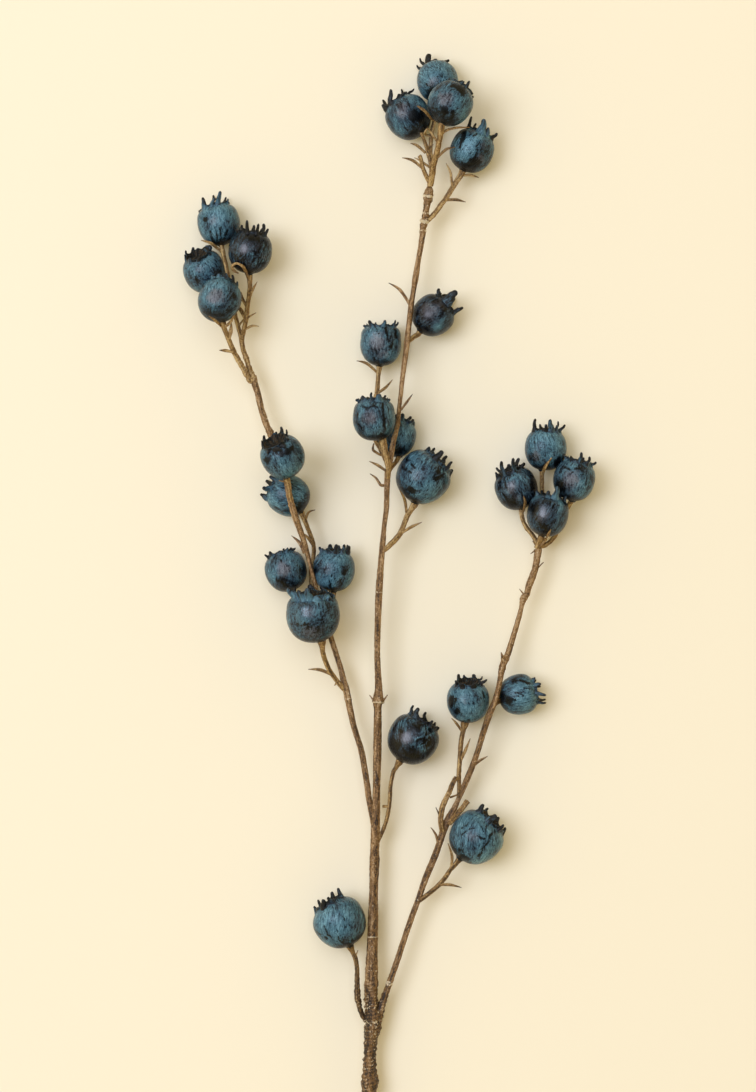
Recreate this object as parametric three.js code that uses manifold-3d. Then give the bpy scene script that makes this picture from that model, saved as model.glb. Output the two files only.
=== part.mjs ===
// A spray of faux blueberries, lying on its berries on the plane Z = 0.
// Three wrapped wire stems meet in one wrapped base; moulded twigs with small pointed bracts carry the berries.
// Millimetres. +X and +Y lie in the plane of the spray, +Y towards its tip, +Z is up.
import * as THREE from 'three';
import { mergeVertices } from 'three/addons/utils/BufferGeometryUtils.js';
import Module from 'manifold-3d';

const GAP = 0.3;             // air between pieces that touch
const BERRY_SIDES = 12;      // sides around a berry
const STEM_SIDES = 6;        // sides around a wrapped stem
const TWIG_SIDES = 5;        // sides around a moulded twig
const BRACT_THICKNESS = 0.7; // thickness of a bract at its root
const SEPAL_THICKNESS = 0.9; // thickness of a sepal at its root
const FLAT = 0.12;           // how far a berry's resting side is pressed flat
const CROWN_RING = 0.56;     // radius of the ring of sepals, as a share of the berry's radius
const CROWN_ROOT = 0.80;     // height of the sepals' roots above the berry's middle, as a share of its radius

// The berry's outline from its base to the bottom of its crown's cup: [radius, height] as shares of its radius.
const BERRY_PROFILE = [
  [0, -0.95], [0.58, -0.8], [0.98, -0.3], [0.98, 0.25], [0.8, 0.62], [0.58, 0.86], [0.46, 0.86], [0.3, 0.7], [0, 0.68],
];
// The same berry without its cup, for the clearance that its neighbours keep.
const BERRY_HULL = [[0, -0.95], [0.58, -0.8], [0.98, -0.3], [0.98, 0.25], [0.8, 0.62], [0.58, 0.88], [0, 0.9]];

const BERRIES = {
  berry_top_1: { centre: [19.17, 214.34, 8.2], radius: 8.23, axis: [-0.093, 0.779, -0.62],
    sepals: [[277.5, 5.35, 30.0, 1.59], [307.5, 5.35, 30.0, 1.19], [337.5, 5.35, 15.0, 2.98], [82.5, 5.35, 15.0, 1.59], [127.5, 7.24, 62.0, 1.59], [198.3, 3.66, 13.0, 1.94], [33.2, 3.16, 2.0, 1.97], [240.6, 3.01, 5.0, 1.81]] },
  berry_top_2: { centre: [23.64, 203.82, 22.9], radius: 8.77, axis: [0.524, 0.777, -0.35],
    sepals: [[15.0, 3.95, 15.0, 1.57], [191.4, 3.72, 6.0, 2.02], [285.9, 3.18, 8.0, 2.05], [103.7, 3.82, 8.0, 1.86], [233.6, 3.74, 14.0, 1.63], [326.3, 3.2, 13.0, 2.22], [64.3, 4.0, 11.0, 2.3], [145.3, 3.49, 10.0, 2.31]] },
  berry_top_3: { centre: [7.71, 200.14, 8.9], radius: 8.86, axis: [-0.567, 0.815, -0.12],
    sepals: [[232.5, 4.87, 15.0, 2.38], [330.0, 4.87, 30.0, 1.19], [0.0, 5.76, 45.0, 2.38], [30.0, 4.87, 45.0, 0.99], [97.5, 3.99, 45.0, 1.19], [163.5, 3.38, 13.0, 1.53], [275.3, 3.85, 1.0, 1.93]] },
  berry_top_4: { centre: [32.56, 186.92, 8.75], radius: 8.67, axis: [0.423, 0.906, 0.0],
    sepals: [[307.5, 5.63, 30.0, 1.19], [217.5, 6.5, 15.0, 1.19], [352.5, 5.63, 30.0, 2.39], [120.0, 4.77, 30.0, 1.79], [55.7, 3.26, 3.0, 2.3], [165.0, 3.91, 1.0, 2.18], [257.6, 3.09, 9.0, 2.37]] },
  berry_left_top_1: { centre: [-67.74, 157.65, 8.5], radius: 8.47, axis: [-0.2, 0.98, 0.0],
    sepals: [[255.0, 2.96, 62.0, 1.59], [217.5, 5.5, 15.0, 2.39], [0.0, 5.5, 15.0, 1.59], [37.5, 5.5, 15.0, 2.39], [97.5, 4.66, 0.0, 1.19], [135.0, 3.81, 45.0, 1.19], [303.9, 3.59, 6.0, 2.02], [179.0, 3.07, 8.0, 2.05]] },
  berry_left_top_2: { centre: [-55.23, 146.23, 14.8], radius: 8.67, axis: [0.119, 0.986, 0.12],
    sepals: [[345.0, 5.63, 30.0, 2.37], [180.0, 3.9, 30.0, 1.19], [22.5, 4.77, 15.0, 1.58], [142.5, 4.77, 30.0, 1.58], [112.5, 3.03, 30.0, 1.19], [315.0, 3.03, 62.0, 1.58], [246.0, 3.31, 13.0, 1.53], [61.5, 3.76, 1.0, 1.93]] },
  berry_left_top_3: { centre: [-73.35, 138.81, 8.45], radius: 8.43, axis: [-0.341, 0.825, 0.45],
    sepals: [[292.5, 3.79, 0.0, 1.59], [210.0, 3.79, 30.0, 1.19], [352.5, 7.42, 15.0, 1.99], [37.5, 4.64, 15.0, 1.59], [123.2, 3.17, 3.0, 2.3], [162.8, 3.81, 1.0, 2.18], [75.4, 3.01, 9.0, 2.37], [255.1, 3.77, 10.0, 2.15]] },
  berry_left_top_4: { centre: [-67.17, 126.49, 20.3], radius: 8.51, axis: [0.25, 0.857, -0.45],
    sepals: [[225.0, 6.39, 0.0, 1.58], [7.5, 3.83, 15.0, 1.58], [121.6, 3.49, 1.0, 2.32], [297.9, 3.85, 2.0, 2.01], [69.2, 3.9, 7.0, 2.08], [177.4, 3.52, 9.0, 2.32], [266.2, 3.29, 9.0, 2.13]] },
  berry_centre_1: { centre: [17.1, 121.48, 8.3], radius: 8.27, axis: [0.769, 0.639, 0.0],
    sepals: [[277.5, 2.89, 45.0, 1.59], [352.5, 6.2, 0.0, 2.78], [75.0, 4.55, 15.0, 1.99], [174.8, 3.16, 13.0, 1.53], [220.2, 3.59, 1.0, 1.93], [123.2, 3.8, 3.0, 2.31], [33.2, 3.58, 0.0, 1.87], [309.7, 3.11, 14.0, 2.18]] },
  berry_centre_2: { centre: [-3.46, 109.56, 8.25], radius: 8.23, axis: [0.0, 0.999, 0.05],
    sepals: [[225.0, 3.7, 30.0, 1.59], [345.0, 4.53, 45.0, 1.59], [165.0, 3.7, 30.0, 1.59], [90.0, 3.7, 15.0, 1.59], [60.0, 4.53, 45.0, 1.19], [284.4, 3.09, 3.0, 2.3], [18.7, 3.72, 1.0, 2.18], [122.6, 2.94, 9.0, 2.37]] },
  berry_centre_3: { centre: [-6.07, 79.53, 22.8], radius: 8.42, axis: [0.0, 0.999, 0.05],
    sepals: [[262.5, 2.95, 62.0, 1.57], [322.5, 4.63, 45.0, 1.57], [195.0, 2.95, 45.0, 1.57], [352.5, 4.63, 30.0, 1.57], [22.5, 4.63, 15.0, 1.97], [142.5, 4.63, 45.0, 1.57], [87.8, 3.45, 1.0, 2.32]] },
  berry_centre_4: { centre: [2.39, 73.1, 8.0], radius: 7.95, axis: [0.301, 0.954, 0.0],
    sepals: [[0.0, 3.58, 15.0, 1.99], [150.0, 4.37, 30.0, 1.59], [37.5, 3.58, 62.0, 1.19], [259.2, 3.18, 3.0, 2.18], [95.3, 2.76, 1.0, 1.88], [210.4, 2.79, 2.0, 1.99], [313.1, 3.07, 5.0, 1.54]] },
  berry_centre_5: { centre: [13.09, 57.14, 10.65], radius: 10.64, axis: [0.706, 0.706, 0.05],
    sepals: [[322.5, 3.72, 62.0, 1.59], [210.0, 3.72, 45.0, 1.59], [352.5, 4.79, 30.0, 1.98], [150.0, 3.72, 15.0, 1.98], [45.0, 3.72, 30.0, 1.59], [268.4, 4.27, 9.0, 1.93], [97.0, 4.83, 14.0, 2.27]] },
  berry_left_mid_1: { centre: [-41.92, 64.94, 24.0], radius: 8.61, axis: [-0.401, 0.767, 0.5],
    sepals: [[210.0, 3.01, 30.0, 1.57], [127.5, 3.87, 15.0, 2.36], [97.5, 3.01, 30.0, 1.57], [315.0, 4.74, 15.0, 1.57], [25.7, 3.24, 3.0, 2.3], [258.7, 3.89, 1.0, 2.18], [163.8, 3.07, 9.0, 2.37], [65.4, 3.86, 10.0, 2.15]] },
  berry_left_mid_2: { centre: [-39.88, 49.91, 8.4], radius: 8.35, axis: [-0.882, 0.471, 0.0],
    sepals: [[345.0, 4.59, 30.0, 1.99], [172.5, 5.43, 30.0, 1.59], [202.5, 2.92, 45.0, 1.59], [84.1, 3.42, 1.0, 2.32], [275.4, 3.78, 2.0, 2.01], [39.2, 3.83, 7.0, 2.08], [132.4, 3.45, 9.0, 2.32], [243.7, 3.23, 9.0, 2.13]] },
  berry_left_mid_3: { centre: [-41.03, 19.89, 8.35], radius: 8.31, axis: [-0.301, 0.954, 0.0],
    sepals: [[240.0, 3.74, 45.0, 1.59], [315.0, 2.91, 15.0, 1.59], [165.0, 2.91, 30.0, 1.99], [30.0, 2.91, 45.0, 1.19], [127.5, 2.91, 62.0, 1.59], [82.9, 3.32, 3.0, 2.18], [354.1, 2.88, 1.0, 1.88], [283.3, 2.92, 2.0, 1.99]] },
  berry_left_mid_4: { centre: [-22.14, 20.09, 8.45], radius: 8.43, axis: [0.05, 0.994, 0.1],
    sepals: [[277.5, 2.95, 30.0, 1.59], [330.0, 2.95, 30.0, 1.59], [7.5, 4.64, 15.0, 1.59], [37.5, 4.64, 15.0, 1.59], [120.0, 3.79, 15.0, 1.19], [200.9, 3.38, 9.0, 1.93], [78.3, 3.83, 14.0, 2.27], [161.5, 3.07, 4.0, 1.56]] },
  berry_left_mid_5: { centre: [-30.23, 2.2, 18.5], radius: 10.66, axis: [-0.049, 0.979, 0.2],
    sepals: [[285.0, 3.73, 30.0, 2.37], [352.5, 4.8, 0.0, 2.76], [22.5, 3.73, 15.0, 2.37], [149.1, 3.89, 3.0, 1.64], [221.0, 4.15, 8.0, 2.17], [82.8, 4.86, 13.0, 1.94], [179.3, 4.72, 6.0, 2.06]] },
  berry_right_top_1: { centre: [62.07, 68.12, 8.3], radius: 8.35, axis: [0.05, 0.996, 0.08],
    sepals: [[225.0, 6.26, 15.0, 1.59], [337.5, 6.26, 30.0, 1.19], [165.0, 5.43, 15.0, 2.39], [45.0, 5.43, 15.0, 1.19], [82.5, 4.59, 30.0, 1.59], [286.6, 3.42, 1.0, 2.32], [125.4, 3.78, 2.0, 2.01]] },
  berry_right_top_2: { centre: [50.57, 52.65, 8.5], radius: 8.47, axis: [-0.396, 0.91, 0.12],
    sepals: [[225.0, 3.81, 15.0, 1.19], [300.0, 2.96, 30.0, 1.19], [187.5, 4.66, 15.0, 2.39], [150.0, 4.66, 30.0, 1.59], [52.5, 5.5, 30.0, 2.39], [90.0, 2.96, 62.0, 1.59], [0.4, 3.39, 3.0, 2.18], [264.1, 2.94, 1.0, 1.88]] },
  berry_right_top_3: { centre: [73.12, 55.89, 12.0], radius: 8.25, axis: [0.248, 0.964, 0.1],
    sepals: [[292.5, 2.89, 45.0, 1.59], [225.0, 2.89, 15.0, 1.59], [345.0, 4.54, 15.0, 1.59], [15.0, 3.71, 30.0, 1.59], [82.5, 3.71, 15.0, 1.59], [112.5, 3.71, 45.0, 1.19], [170.9, 3.31, 9.0, 1.93]] },
  berry_right_top_4: { centre: [62.42, 41.79, 14.2], radius: 8.28, axis: [0.2, 0.979, 0.05],
    sepals: [[240.0, 2.9, 62.0, 1.58], [210.0, 3.72, 15.0, 1.98], [0.0, 6.21, 15.0, 2.77], [150.0, 6.21, 30.0, 2.38], [52.5, 4.55, 30.0, 1.58], [295.3, 3.02, 3.0, 1.64], [105.2, 3.22, 8.0, 2.17]] },
  berry_right_low_1: { centre: [31.33, -31.95, 8.5], radius: 8.51, axis: [0.0, 0.954, 0.3],
    sepals: [[315.0, 6.38, 15.0, 1.59], [195.0, 2.98, 30.0, 1.59], [157.5, 2.98, 15.0, 2.39], [52.5, 5.53, 15.0, 1.59], [90.0, 3.83, 45.0, 1.59], [259.2, 3.4, 3.0, 2.18], [5.3, 2.95, 1.0, 1.88]] },
  berry_right_low_2: { centre: [51.23, -29.19, 8.1], radius: 8.07, axis: [0.975, 0.221, 0.0],
    sepals: [[225.0, 2.83, 62.0, 1.59], [195.0, 3.63, 30.0, 1.99], [157.5, 4.44, 15.0, 1.99], [60.0, 3.63, 15.0, 1.59], [324.6, 3.24, 9.0, 1.93], [274.3, 3.67, 14.0, 2.27], [109.8, 2.94, 4.0, 1.56], [14.1, 3.44, 5.0, 2.36]] },
  berry_right_low_3: { centre: [34.25, -85.76, 10.7], radius: 10.68, axis: [0.69, 0.72, 0.08],
    sepals: [[277.5, 3.74, 15.0, 2.78], [322.5, 4.8, 30.0, 1.19], [352.5, 6.94, 45.0, 1.98], [157.5, 3.74, 62.0, 1.59], [37.5, 3.74, 30.0, 1.59], [212.8, 3.9, 3.0, 1.64], [101.5, 4.15, 8.0, 2.17]] },
  berry_base_1: { centre: [9.13, -46.86, 10.0], radius: 10.01, axis: [0.522, 0.853, 0.0],
    sepals: [[232.5, 4.5, 30.0, 1.59], [307.5, 4.5, 0.0, 2.38], [352.5, 4.5, 30.0, 1.59], [22.5, 3.5, 30.0, 1.59], [127.5, 3.5, 62.0, 1.59], [182.1, 4.02, 9.0, 1.93], [74.5, 4.54, 14.0, 2.27], [271.1, 3.65, 4.0, 1.56]] },
  berry_base_2: { centre: [-19.66, -119.37, 10.4], radius: 10.4, axis: [-0.51, 0.86, 0.0],
    sepals: [[315.0, 3.64, 30.0, 1.99], [195.0, 3.64, 30.0, 1.99], [30.0, 3.64, 15.0, 1.99], [82.5, 3.64, 15.0, 1.99], [250.3, 3.8, 3.0, 1.64], [142.7, 4.05, 8.0, 2.17], [349.5, 4.75, 13.0, 1.94]] },
};

const STEMS = {
  main_stem_base: {
    strands: [
      [[-10.04, -226.4, 6.8, 2.69], [-9.25, -210.42, 7.1, 2.65], [-8.51, -194.44, 7.5, 2.75], [-8.07, -186.47, 7.6, 2.86], [-7.83, -182.87, 7.7, 3.34], [-7.95, -178.5, 7.7, 2.59], [-7.69, -170.53, 7.8, 2.49], [-7.04, -162.96, 7.9, 2.86], [-6.46, -158.57, 8.0, 3.28], [-6.86, -153.78, 8.1, 2.88], [-7.17, -149.01, 8.1, 2.57], [-7.1, -138.66, 8.2, 2.49], [-6.94, -129.1, 8.3, 2.13], [-6.6, -117.56, 8.4, 1.99], [-6.32, -106.26, 8.5, 1.71], [-6.04, -94.88, 8.6, 1.99]],
    ],
    bracts: [
    ],
  },
  main_stem_lower: {
    strands: [
      [[-6.04, -94.88, 8.6, 1.99], [-6.0, -91.7, 8.6, 1.75], [-5.64, -81.74, 8.8, 1.79], [-5.15, -67.02, 9.1, 1.45], [-4.89, -51.88, 9.6, 1.63], [-4.77, -41.93, 10.0, 1.59], [-4.59, -33.98, 10.3, 1.57], [-4.45, -31.19, 10.4, 2.26]],
    ],
    bracts: [
    ],
  },
  main_stem_middle: {
    strands: [
      [[-4.45, -31.19, 10.4, 2.26], [-4.25, -27.21, 10.6, 1.59], [-4.55, -20.45, 11.0, 1.29], [-4.85, -11.71, 11.4, 1.15], [-4.65, -0.59, 12.0, 1.23], [-4.13, 11.72, 12.8, 1.39], [-3.48, 21.23, 13.4, 1.25], [-2.63, 31.65, 14.4, 1.15], [-2.06, 38.26, 15.0, 0.93], [-1.23, 44.98, 15.7, 1.09], [-1.03, 51.42, 16.3, 1.09], [-0.76, 58.01, 17.0, 1.24], [-0.26, 61.28, 17.4, 1.19], [0.56, 65.89, 17.8, 1.07], [1.47, 71.13, 18.0, 0.99]],
    ],
    bracts: [
      [[-1.8, 54.06, 16.6, 0.67], [-2.51, 53.89, 16.71, 0.65], [-3.46, 54.06, 16.8, 0.63], [-4.37, 55.34, 16.74, 0.57], [-5.36, 56.83, 16.6, 0.51], [-6.67, 57.83, 16.39, 0.32], [-7.73, 58.5, 16.2, 0.12]],
      [[-6.16, -31.59, 10.4, 0.52], [-7.94, -29.2, 10.6, 0.16]],
      [[-2.58, -31.59, 10.4, 0.52], [-0.8, -29.2, 10.6, 0.16]],
    ],
  },
  main_stem_top: {
    strands: [
      [[1.47, 71.13, 18.0, 0.99], [3.13, 77.73, 17.8, 0.87], [3.79, 84.48, 17.0, 0.85], [4.53, 90.97, 15.8, 0.91], [5.25, 97.63, 14.8, 0.99], [6.22, 104.4, 14.0, 1.09], [6.96, 110.88, 13.5, 1.15], [7.71, 117.5, 13.4, 1.07], [8.44, 124.24, 13.4, 1.13], [9.42, 130.77, 12.4, 0.99], [10.35, 136.7, 11.0, 1.23], [11.43, 143.52, 10.2, 1.03], [12.63, 150.29, 9.9, 1.11], [13.38, 156.25, 9.9, 1.27], [13.9, 159.03, 9.9, 1.59], [14.45, 162.61, 9.9, 1.19], [14.97, 166.18, 9.9, 1.47], [15.53, 168.95, 10.0, 1.67], [15.88, 172.51, 10.1, 1.43]],
    ],
    bracts: [
      [[7.91, 125.76, 13.2, 0.63], [6.31, 128.39, 13.3, 0.65], [4.15, 131.37, 13.4, 0.67], [1.67, 133.11, 13.41, 0.4], [-0.33, 134.14, 13.4, 0.12]],
      [[4.52, 83.67, 17.4, 0.51], [5.56, 85.04, 17.86, 0.55], [6.88, 86.79, 18.4, 0.59], [8.11, 88.51, 18.76, 0.36], [9.04, 89.85, 19.0, 0.12]],
    ],
  },
  left_branch: {
    strands: [
      [[-53.62, 94.54, 8.8, 1.31], [-52.46, 90.76, 8.9, 1.23], [-51.66, 87.18, 9.1, 1.29], [-50.86, 83.98, 9.4, 1.19], [-49.85, 80.79, 9.8, 1.29], [-48.72, 77.6, 10.3, 1.25], [-47.24, 74.4, 10.9, 1.35], [-45.42, 69.61, 12.0, 1.19], [-42.99, 64.02, 13.6, 1.19], [-41.56, 59.22, 15.4, 1.19], [-40.31, 54.04, 17.6, 1.18], [-39.3, 48.78, 18.5, 1.18], [-37.66, 42.86, 17.8, 1.3], [-35.42, 36.28, 15.8, 1.19], [-33.48, 30.35, 14.0, 1.07], [-31.83, 23.73, 13.2, 0.91], [-30.61, 19.13, 13.0, 0.79], [-29.25, 13.8, 11.3, 0.83], [-28.22, 9.28, 8.6, 0.91], [-26.86, 4.48, 6.9, 1.0], [-25.15, -0.7, 6.8, 1.07], [-22.95, -7.46, 7.2, 1.13], [-21.16, -13.02, 7.6, 1.09], [-19.33, -18.81, 7.9, 1.09], [-17.97, -24.53, 8.1, 1.27], [-17.18, -27.32, 8.1, 1.33], [-15.55, -35.66, 8.2, 1.27], [-14.23, -41.62, 8.3, 1.19], [-12.56, -47.18, 8.4, 1.13], [-10.93, -52.74, 8.5, 1.19], [-8.94, -64.27, 8.6, 1.19], [-8.19, -69.83, 8.7, 1.23], [-6.99, -76.97, 8.9, 1.09], [-6.4, -81.33, 9.0, 0.89]],
    ],
    bracts: [
      [[-47.83, 75.0, 10.8, 0.64], [-45.99, 75.58, 11.4, 0.4]],
      [[-33.68, 26.98, 13.6, 0.71], [-34.37, 28.81, 13.72, 0.75], [-35.46, 31.02, 13.8, 0.79], [-37.22, 32.76, 13.61, 0.46], [-38.76, 33.99, 13.4, 0.12]],
    ],
  },
  right_branch: {
    strands: [
      [[58.96, 28.76, 9.4, 1.59], [58.97, 27.17, 9.3, 1.43], [57.98, 21.61, 9.2, 1.29], [56.83, 18.03, 9.1, 1.39], [55.4, 14.25, 9.0, 1.35], [54.53, 10.67, 9.0, 1.15], [53.14, 8.89, 9.0, 1.39], [52.52, 6.1, 9.0, 0.93], [51.47, 1.73, 8.9, 1.03], [49.27, -5.62, 8.8, 1.09], [46.98, -12.77, 10.4, 1.25], [44.88, -17.64, 12.0, 1.31], [43.59, -24.33, 13.2, 1.05], [41.95, -31.07, 13.2, 1.15], [40.01, -35.85, 12.6, 1.25], [37.15, -44.25, 11.2, 1.17], [35.14, -51.05, 10.3, 1.11], [32.75, -57.85, 9.5, 1.21], [30.13, -64.24, 9.0, 1.19], [27.23, -71.01, 8.8, 0.95], [25.8, -74.19, 8.8, 1.15], [22.32, -80.95, 8.8, 1.49], [20.07, -87.71, 8.8, 1.31], [17.81, -94.07, 8.7, 1.31], [14.39, -102.26, 8.7, 1.27], [11.29, -111.18, 8.6, 1.11], [8.75, -117.95, 8.5, 1.15], [5.33, -127.89, 8.5, 1.13], [3.34, -134.1, 8.4, 1.19], [1.35, -139.83, 8.4, 1.17], [-0.43, -144.99, 8.4, 1.19], [-1.95, -149.38, 8.3, 1.23], [-3.14, -153.37, 8.2, 1.49], [-4.09, -157.74, 8.2, 1.49], [-4.97, -163.33, 8.1, 1.19]],
    ],
    bracts: [
      [[58.69, 21.21, 9.3, 0.52], [61.21, 23.48, 9.7, 0.12]],
      [[53.45, 10.64, 9.2, 0.48], [51.64, 12.87, 9.6, 0.12]],
      [[44.67, -17.82, 12.4, 0.67], [44.78, -16.49, 12.69, 0.79], [44.81, -14.83, 13.0, 0.91], [44.5, -13.31, 13.14, 0.53], [44.17, -12.17, 13.2, 0.16]],
      [[57.8, 28.16, 9.5, 0.44], [56.01, 26.85, 9.7, 0.12]],
      [[32.57, -58.04, 9.6, 0.6], [33.84, -56.85, 9.89, 0.64], [35.54, -55.42, 10.2, 0.68], [37.41, -54.32, 10.34, 0.4], [38.9, -53.55, 10.4, 0.12]],
      [[19.36, -89.28, 9.0, 0.6], [19.0, -87.26, 9.29, 0.6], [18.39, -84.86, 9.6, 0.6], [17.34, -83.08, 9.74, 0.36], [16.4, -81.86, 9.8, 0.12]],
    ],
  },
  top_spray_twig: {
    strands: [
      [[20.17, 194.65, 23.6, 1.22], [19.69, 190.63, 21.6, 1.1], [18.79, 185.96, 19.0, 1.1], [17.53, 181.48, 16.0, 1.19], [16.83, 177.39, 13.2, 1.27], [16.07, 173.03, 10.9, 1.27]],
      [[12.69, 194.42, 14.2, 1.03], [14.07, 189.82, 12.2, 0.87], [15.37, 185.42, 12.2, 0.87], [16.44, 181.22, 12.6, 0.91], [16.67, 177.38, 12.9, 0.91]],
      [[18.97, 205.62, 8.3, 0.87], [18.09, 200.1, 8.6, 0.83], [16.68, 193.2, 9.8, 0.83], [16.3, 187.08, 11.2, 0.83], [16.6, 180.98, 12.6, 0.87]],
      [[16.14, 173.39, 11.2, 0.91], [13.62, 178.69, 13.2, 0.83], [12.3, 183.46, 14.2, 0.83], [11.82, 184.5, 14.4, 0.87]],
    ],
    bracts: [
      [[13.42, 179.21, 13.2, 0.59], [11.58, 180.83, 13.51, 0.63], [9.21, 182.59, 13.8, 0.67], [6.85, 183.37, 13.74, 0.4], [5.02, 183.72, 13.6, 0.12]],
      [[14.28, 185.91, 11.0, 0.52], [12.79, 187.27, 11.47, 0.58], [10.98, 188.74, 12.0, 0.63], [9.46, 189.35, 12.26, 0.38], [8.35, 189.6, 12.4, 0.12]],
      [[15.27, 186.91, 11.0, 0.48], [15.71, 187.54, 11.37, 0.5], [16.29, 188.28, 11.8, 0.52], [16.93, 188.78, 12.05, 0.32], [17.44, 189.11, 12.2, 0.12]],
      [[15.88, 180.06, 13.0, 0.52], [14.98, 180.65, 13.39, 0.52], [13.89, 181.4, 13.8, 0.51], [13.01, 182.11, 13.95, 0.34], [12.38, 182.65, 14.0, 0.16]],
      [[12.06, 182.59, 14.2, 0.51], [9.84, 183.59, 14.8, 0.12]],
      [[18.96, 183.39, 18.0, 0.55], [20.42, 184.88, 18.31, 0.59], [22.31, 186.48, 18.6, 0.63], [24.28, 187.12, 18.54, 0.37], [25.83, 187.37, 18.4, 0.12]],
      [[18.92, 189.0, 20.4, 0.55], [18.02, 190.35, 20.89, 0.55], [16.86, 192.03, 21.4, 0.55], [15.66, 193.57, 21.56, 0.33], [14.73, 194.73, 21.6, 0.12]],
      [[20.43, 191.96, 22.0, 0.59], [21.15, 192.71, 22.28, 0.57], [22.39, 193.59, 22.6, 0.55], [24.27, 194.17, 22.82, 0.53], [26.51, 194.57, 22.9, 0.51], [29.22, 194.7, 22.67, 0.31], [31.41, 194.71, 22.4, 0.12]],
      [[16.08, 192.73, 10.4, 0.48], [15.38, 192.91, 10.52, 0.48], [14.43, 193.19, 10.7, 0.48], [13.88, 193.61, 12.32, 0.48], [14.13, 194.33, 13.08, 0.37], [14.76, 195.19, 13.16, 0.26], [15.25, 195.8, 13.0, 0.16]],
      [[18.01, 199.36, 8.8, 0.52], [17.45, 199.21, 10.39, 0.54], [16.68, 199.28, 12.4, 0.56], [15.84, 200.0, 14.18, 0.57], [14.93, 200.93, 15.7, 0.59], [14.0, 201.73, 16.65, 0.59], [13.01, 202.48, 17.2, 0.59], [11.8, 203.23, 17.34, 0.4], [10.84, 203.78, 17.3, 0.2]],
    ],
  },
  right_top_twig: {
    strands: [
      [[60.27, 59.54, 7.8, 0.88], [60.75, 52.25, 6.0, 0.84], [61.72, 44.31, 3.9, 0.84], [61.17, 36.32, 5.6, 0.88], [59.68, 31.14, 8.4, 1.07]],
      [[52.62, 44.71, 8.0, 0.91], [52.65, 41.4, 8.3, 0.87], [54.31, 37.42, 8.6, 0.87], [56.96, 34.08, 8.8, 0.91], [58.62, 31.34, 9.1, 1.07]],
      [[72.58, 47.41, 11.0, 1.07], [70.86, 45.37, 9.0, 0.91], [68.3, 39.51, 6.4, 0.88], [65.44, 33.53, 7.8, 0.88], [62.21, 30.51, 8.8, 0.91], [59.8, 29.75, 9.2, 1.07]],
      [[59.82, 32.88, 12.2, 1.19], [59.42, 31.34, 10.6, 1.27], [59.0, 29.23, 9.5, 1.55]],
    ],
    bracts: [
      [[60.52, 57.21, 7.4, 0.6], [60.76, 58.24, 7.69, 0.64], [61.13, 59.7, 11.62, 0.68], [61.64, 61.15, 14.13, 0.72], [62.45, 62.55, 15.48, 0.53], [63.41, 63.92, 16.26, 0.34], [64.1, 64.88, 16.56, 0.16]],
      [[53.08, 43.87, 8.4, 0.6], [53.26, 44.71, 12.33, 0.61], [53.51, 45.9, 14.05, 0.62], [53.61, 47.04, 15.15, 0.64], [53.45, 48.06, 15.96, 0.48], [53.15, 49.03, 16.57, 0.32], [52.93, 49.7, 16.91, 0.16]],
      [[60.12, 30.15, 11.0, 0.63], [60.56, 30.84, 11.24, 0.71], [61.19, 31.84, 11.65, 0.79], [61.83, 32.92, 12.6, 0.87], [62.46, 34.19, 19.07, 0.63], [63.09, 35.54, 20.68, 0.4], [63.53, 36.5, 21.43, 0.16]],
      [[58.13, 30.55, 9.4, 0.6], [56.84, 31.94, 9.8, 0.16]],
    ],
  },
  left_top_twig: {
    strands: [
      [[-66.83, 148.74, 8.6, 0.87], [-65.72, 144.55, 11.2, 0.83], [-64.76, 140.89, 13.2, 0.83], [-63.95, 136.58, 12.6, 0.83], [-63.05, 131.52, 11.4, 0.83], [-61.99, 125.65, 10.2, 0.83], [-61.22, 121.28, 9.6, 0.83], [-60.43, 117.99, 9.4, 0.83], [-59.33, 113.8, 9.2, 0.83], [-58.54, 109.39, 9.1, 0.91], [-56.91, 104.47, 9.0, 1.03], [-55.68, 100.29, 9.0, 1.11], [-54.09, 96.52, 8.9, 1.15]],
      [[-55.52, 137.47, 14.4, 1.03], [-55.39, 133.34, 13.6, 0.91], [-55.76, 129.04, 12.2, 0.91], [-56.46, 125.11, 11.6, 0.91], [-56.92, 120.31, 11.0, 0.95], [-57.82, 115.95, 10.3, 0.91], [-58.6, 111.55, 9.6, 0.91], [-57.98, 107.04, 9.2, 0.99]],
      [[-70.25, 131.09, 5.2, 0.84], [-65.93, 127.97, 5.4, 0.8], [-61.87, 125.84, 7.4, 0.8], [-59.42, 124.14, 9.0, 0.79], [-57.13, 120.22, 10.6, 0.79]],
      [[-59.26, 130.17, 10.8, 0.64], [-58.14, 127.56, 11.2, 0.6], [-56.54, 124.77, 11.4, 0.6]],
    ],
    bracts: [
      [[-66.42, 146.54, 9.6, 0.6], [-67.5, 147.47, 10.01, 0.64], [-69.03, 148.76, 10.57, 0.67], [-70.57, 149.84, 12.5, 0.71], [-72.12, 150.51, 12.36, 0.52], [-73.67, 150.98, 11.19, 0.32], [-74.76, 151.29, 11.2, 0.12]],
      [[-55.62, 134.82, 14.9, 0.59], [-56.09, 136.23, 15.08, 0.63], [-56.78, 138.2, 19.47, 0.67], [-57.62, 139.8, 21.26, 0.71], [-58.74, 140.68, 21.56, 0.51], [-60.0, 141.21, 21.18, 0.32], [-60.9, 141.54, 20.68, 0.12]],
      [[-55.11, 129.25, 12.6, 0.55], [-54.62, 130.55, 12.99, 0.57], [-53.93, 132.16, 13.4, 0.59], [-53.1, 133.58, 13.55, 0.36], [-52.42, 134.64, 13.6, 0.12]],
      [[-56.54, 120.41, 11.4, 0.56], [-52.99, 122.43, 12.0, 0.12]],
      [[-57.53, 115.71, 10.4, 0.56], [-56.29, 116.47, 10.7, 0.58], [-54.69, 117.22, 11.0, 0.6], [-53.09, 117.27, 11.04, 0.36], [-51.84, 117.14, 11.0, 0.12]],
    ],
  },
  a4_twig: {
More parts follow.
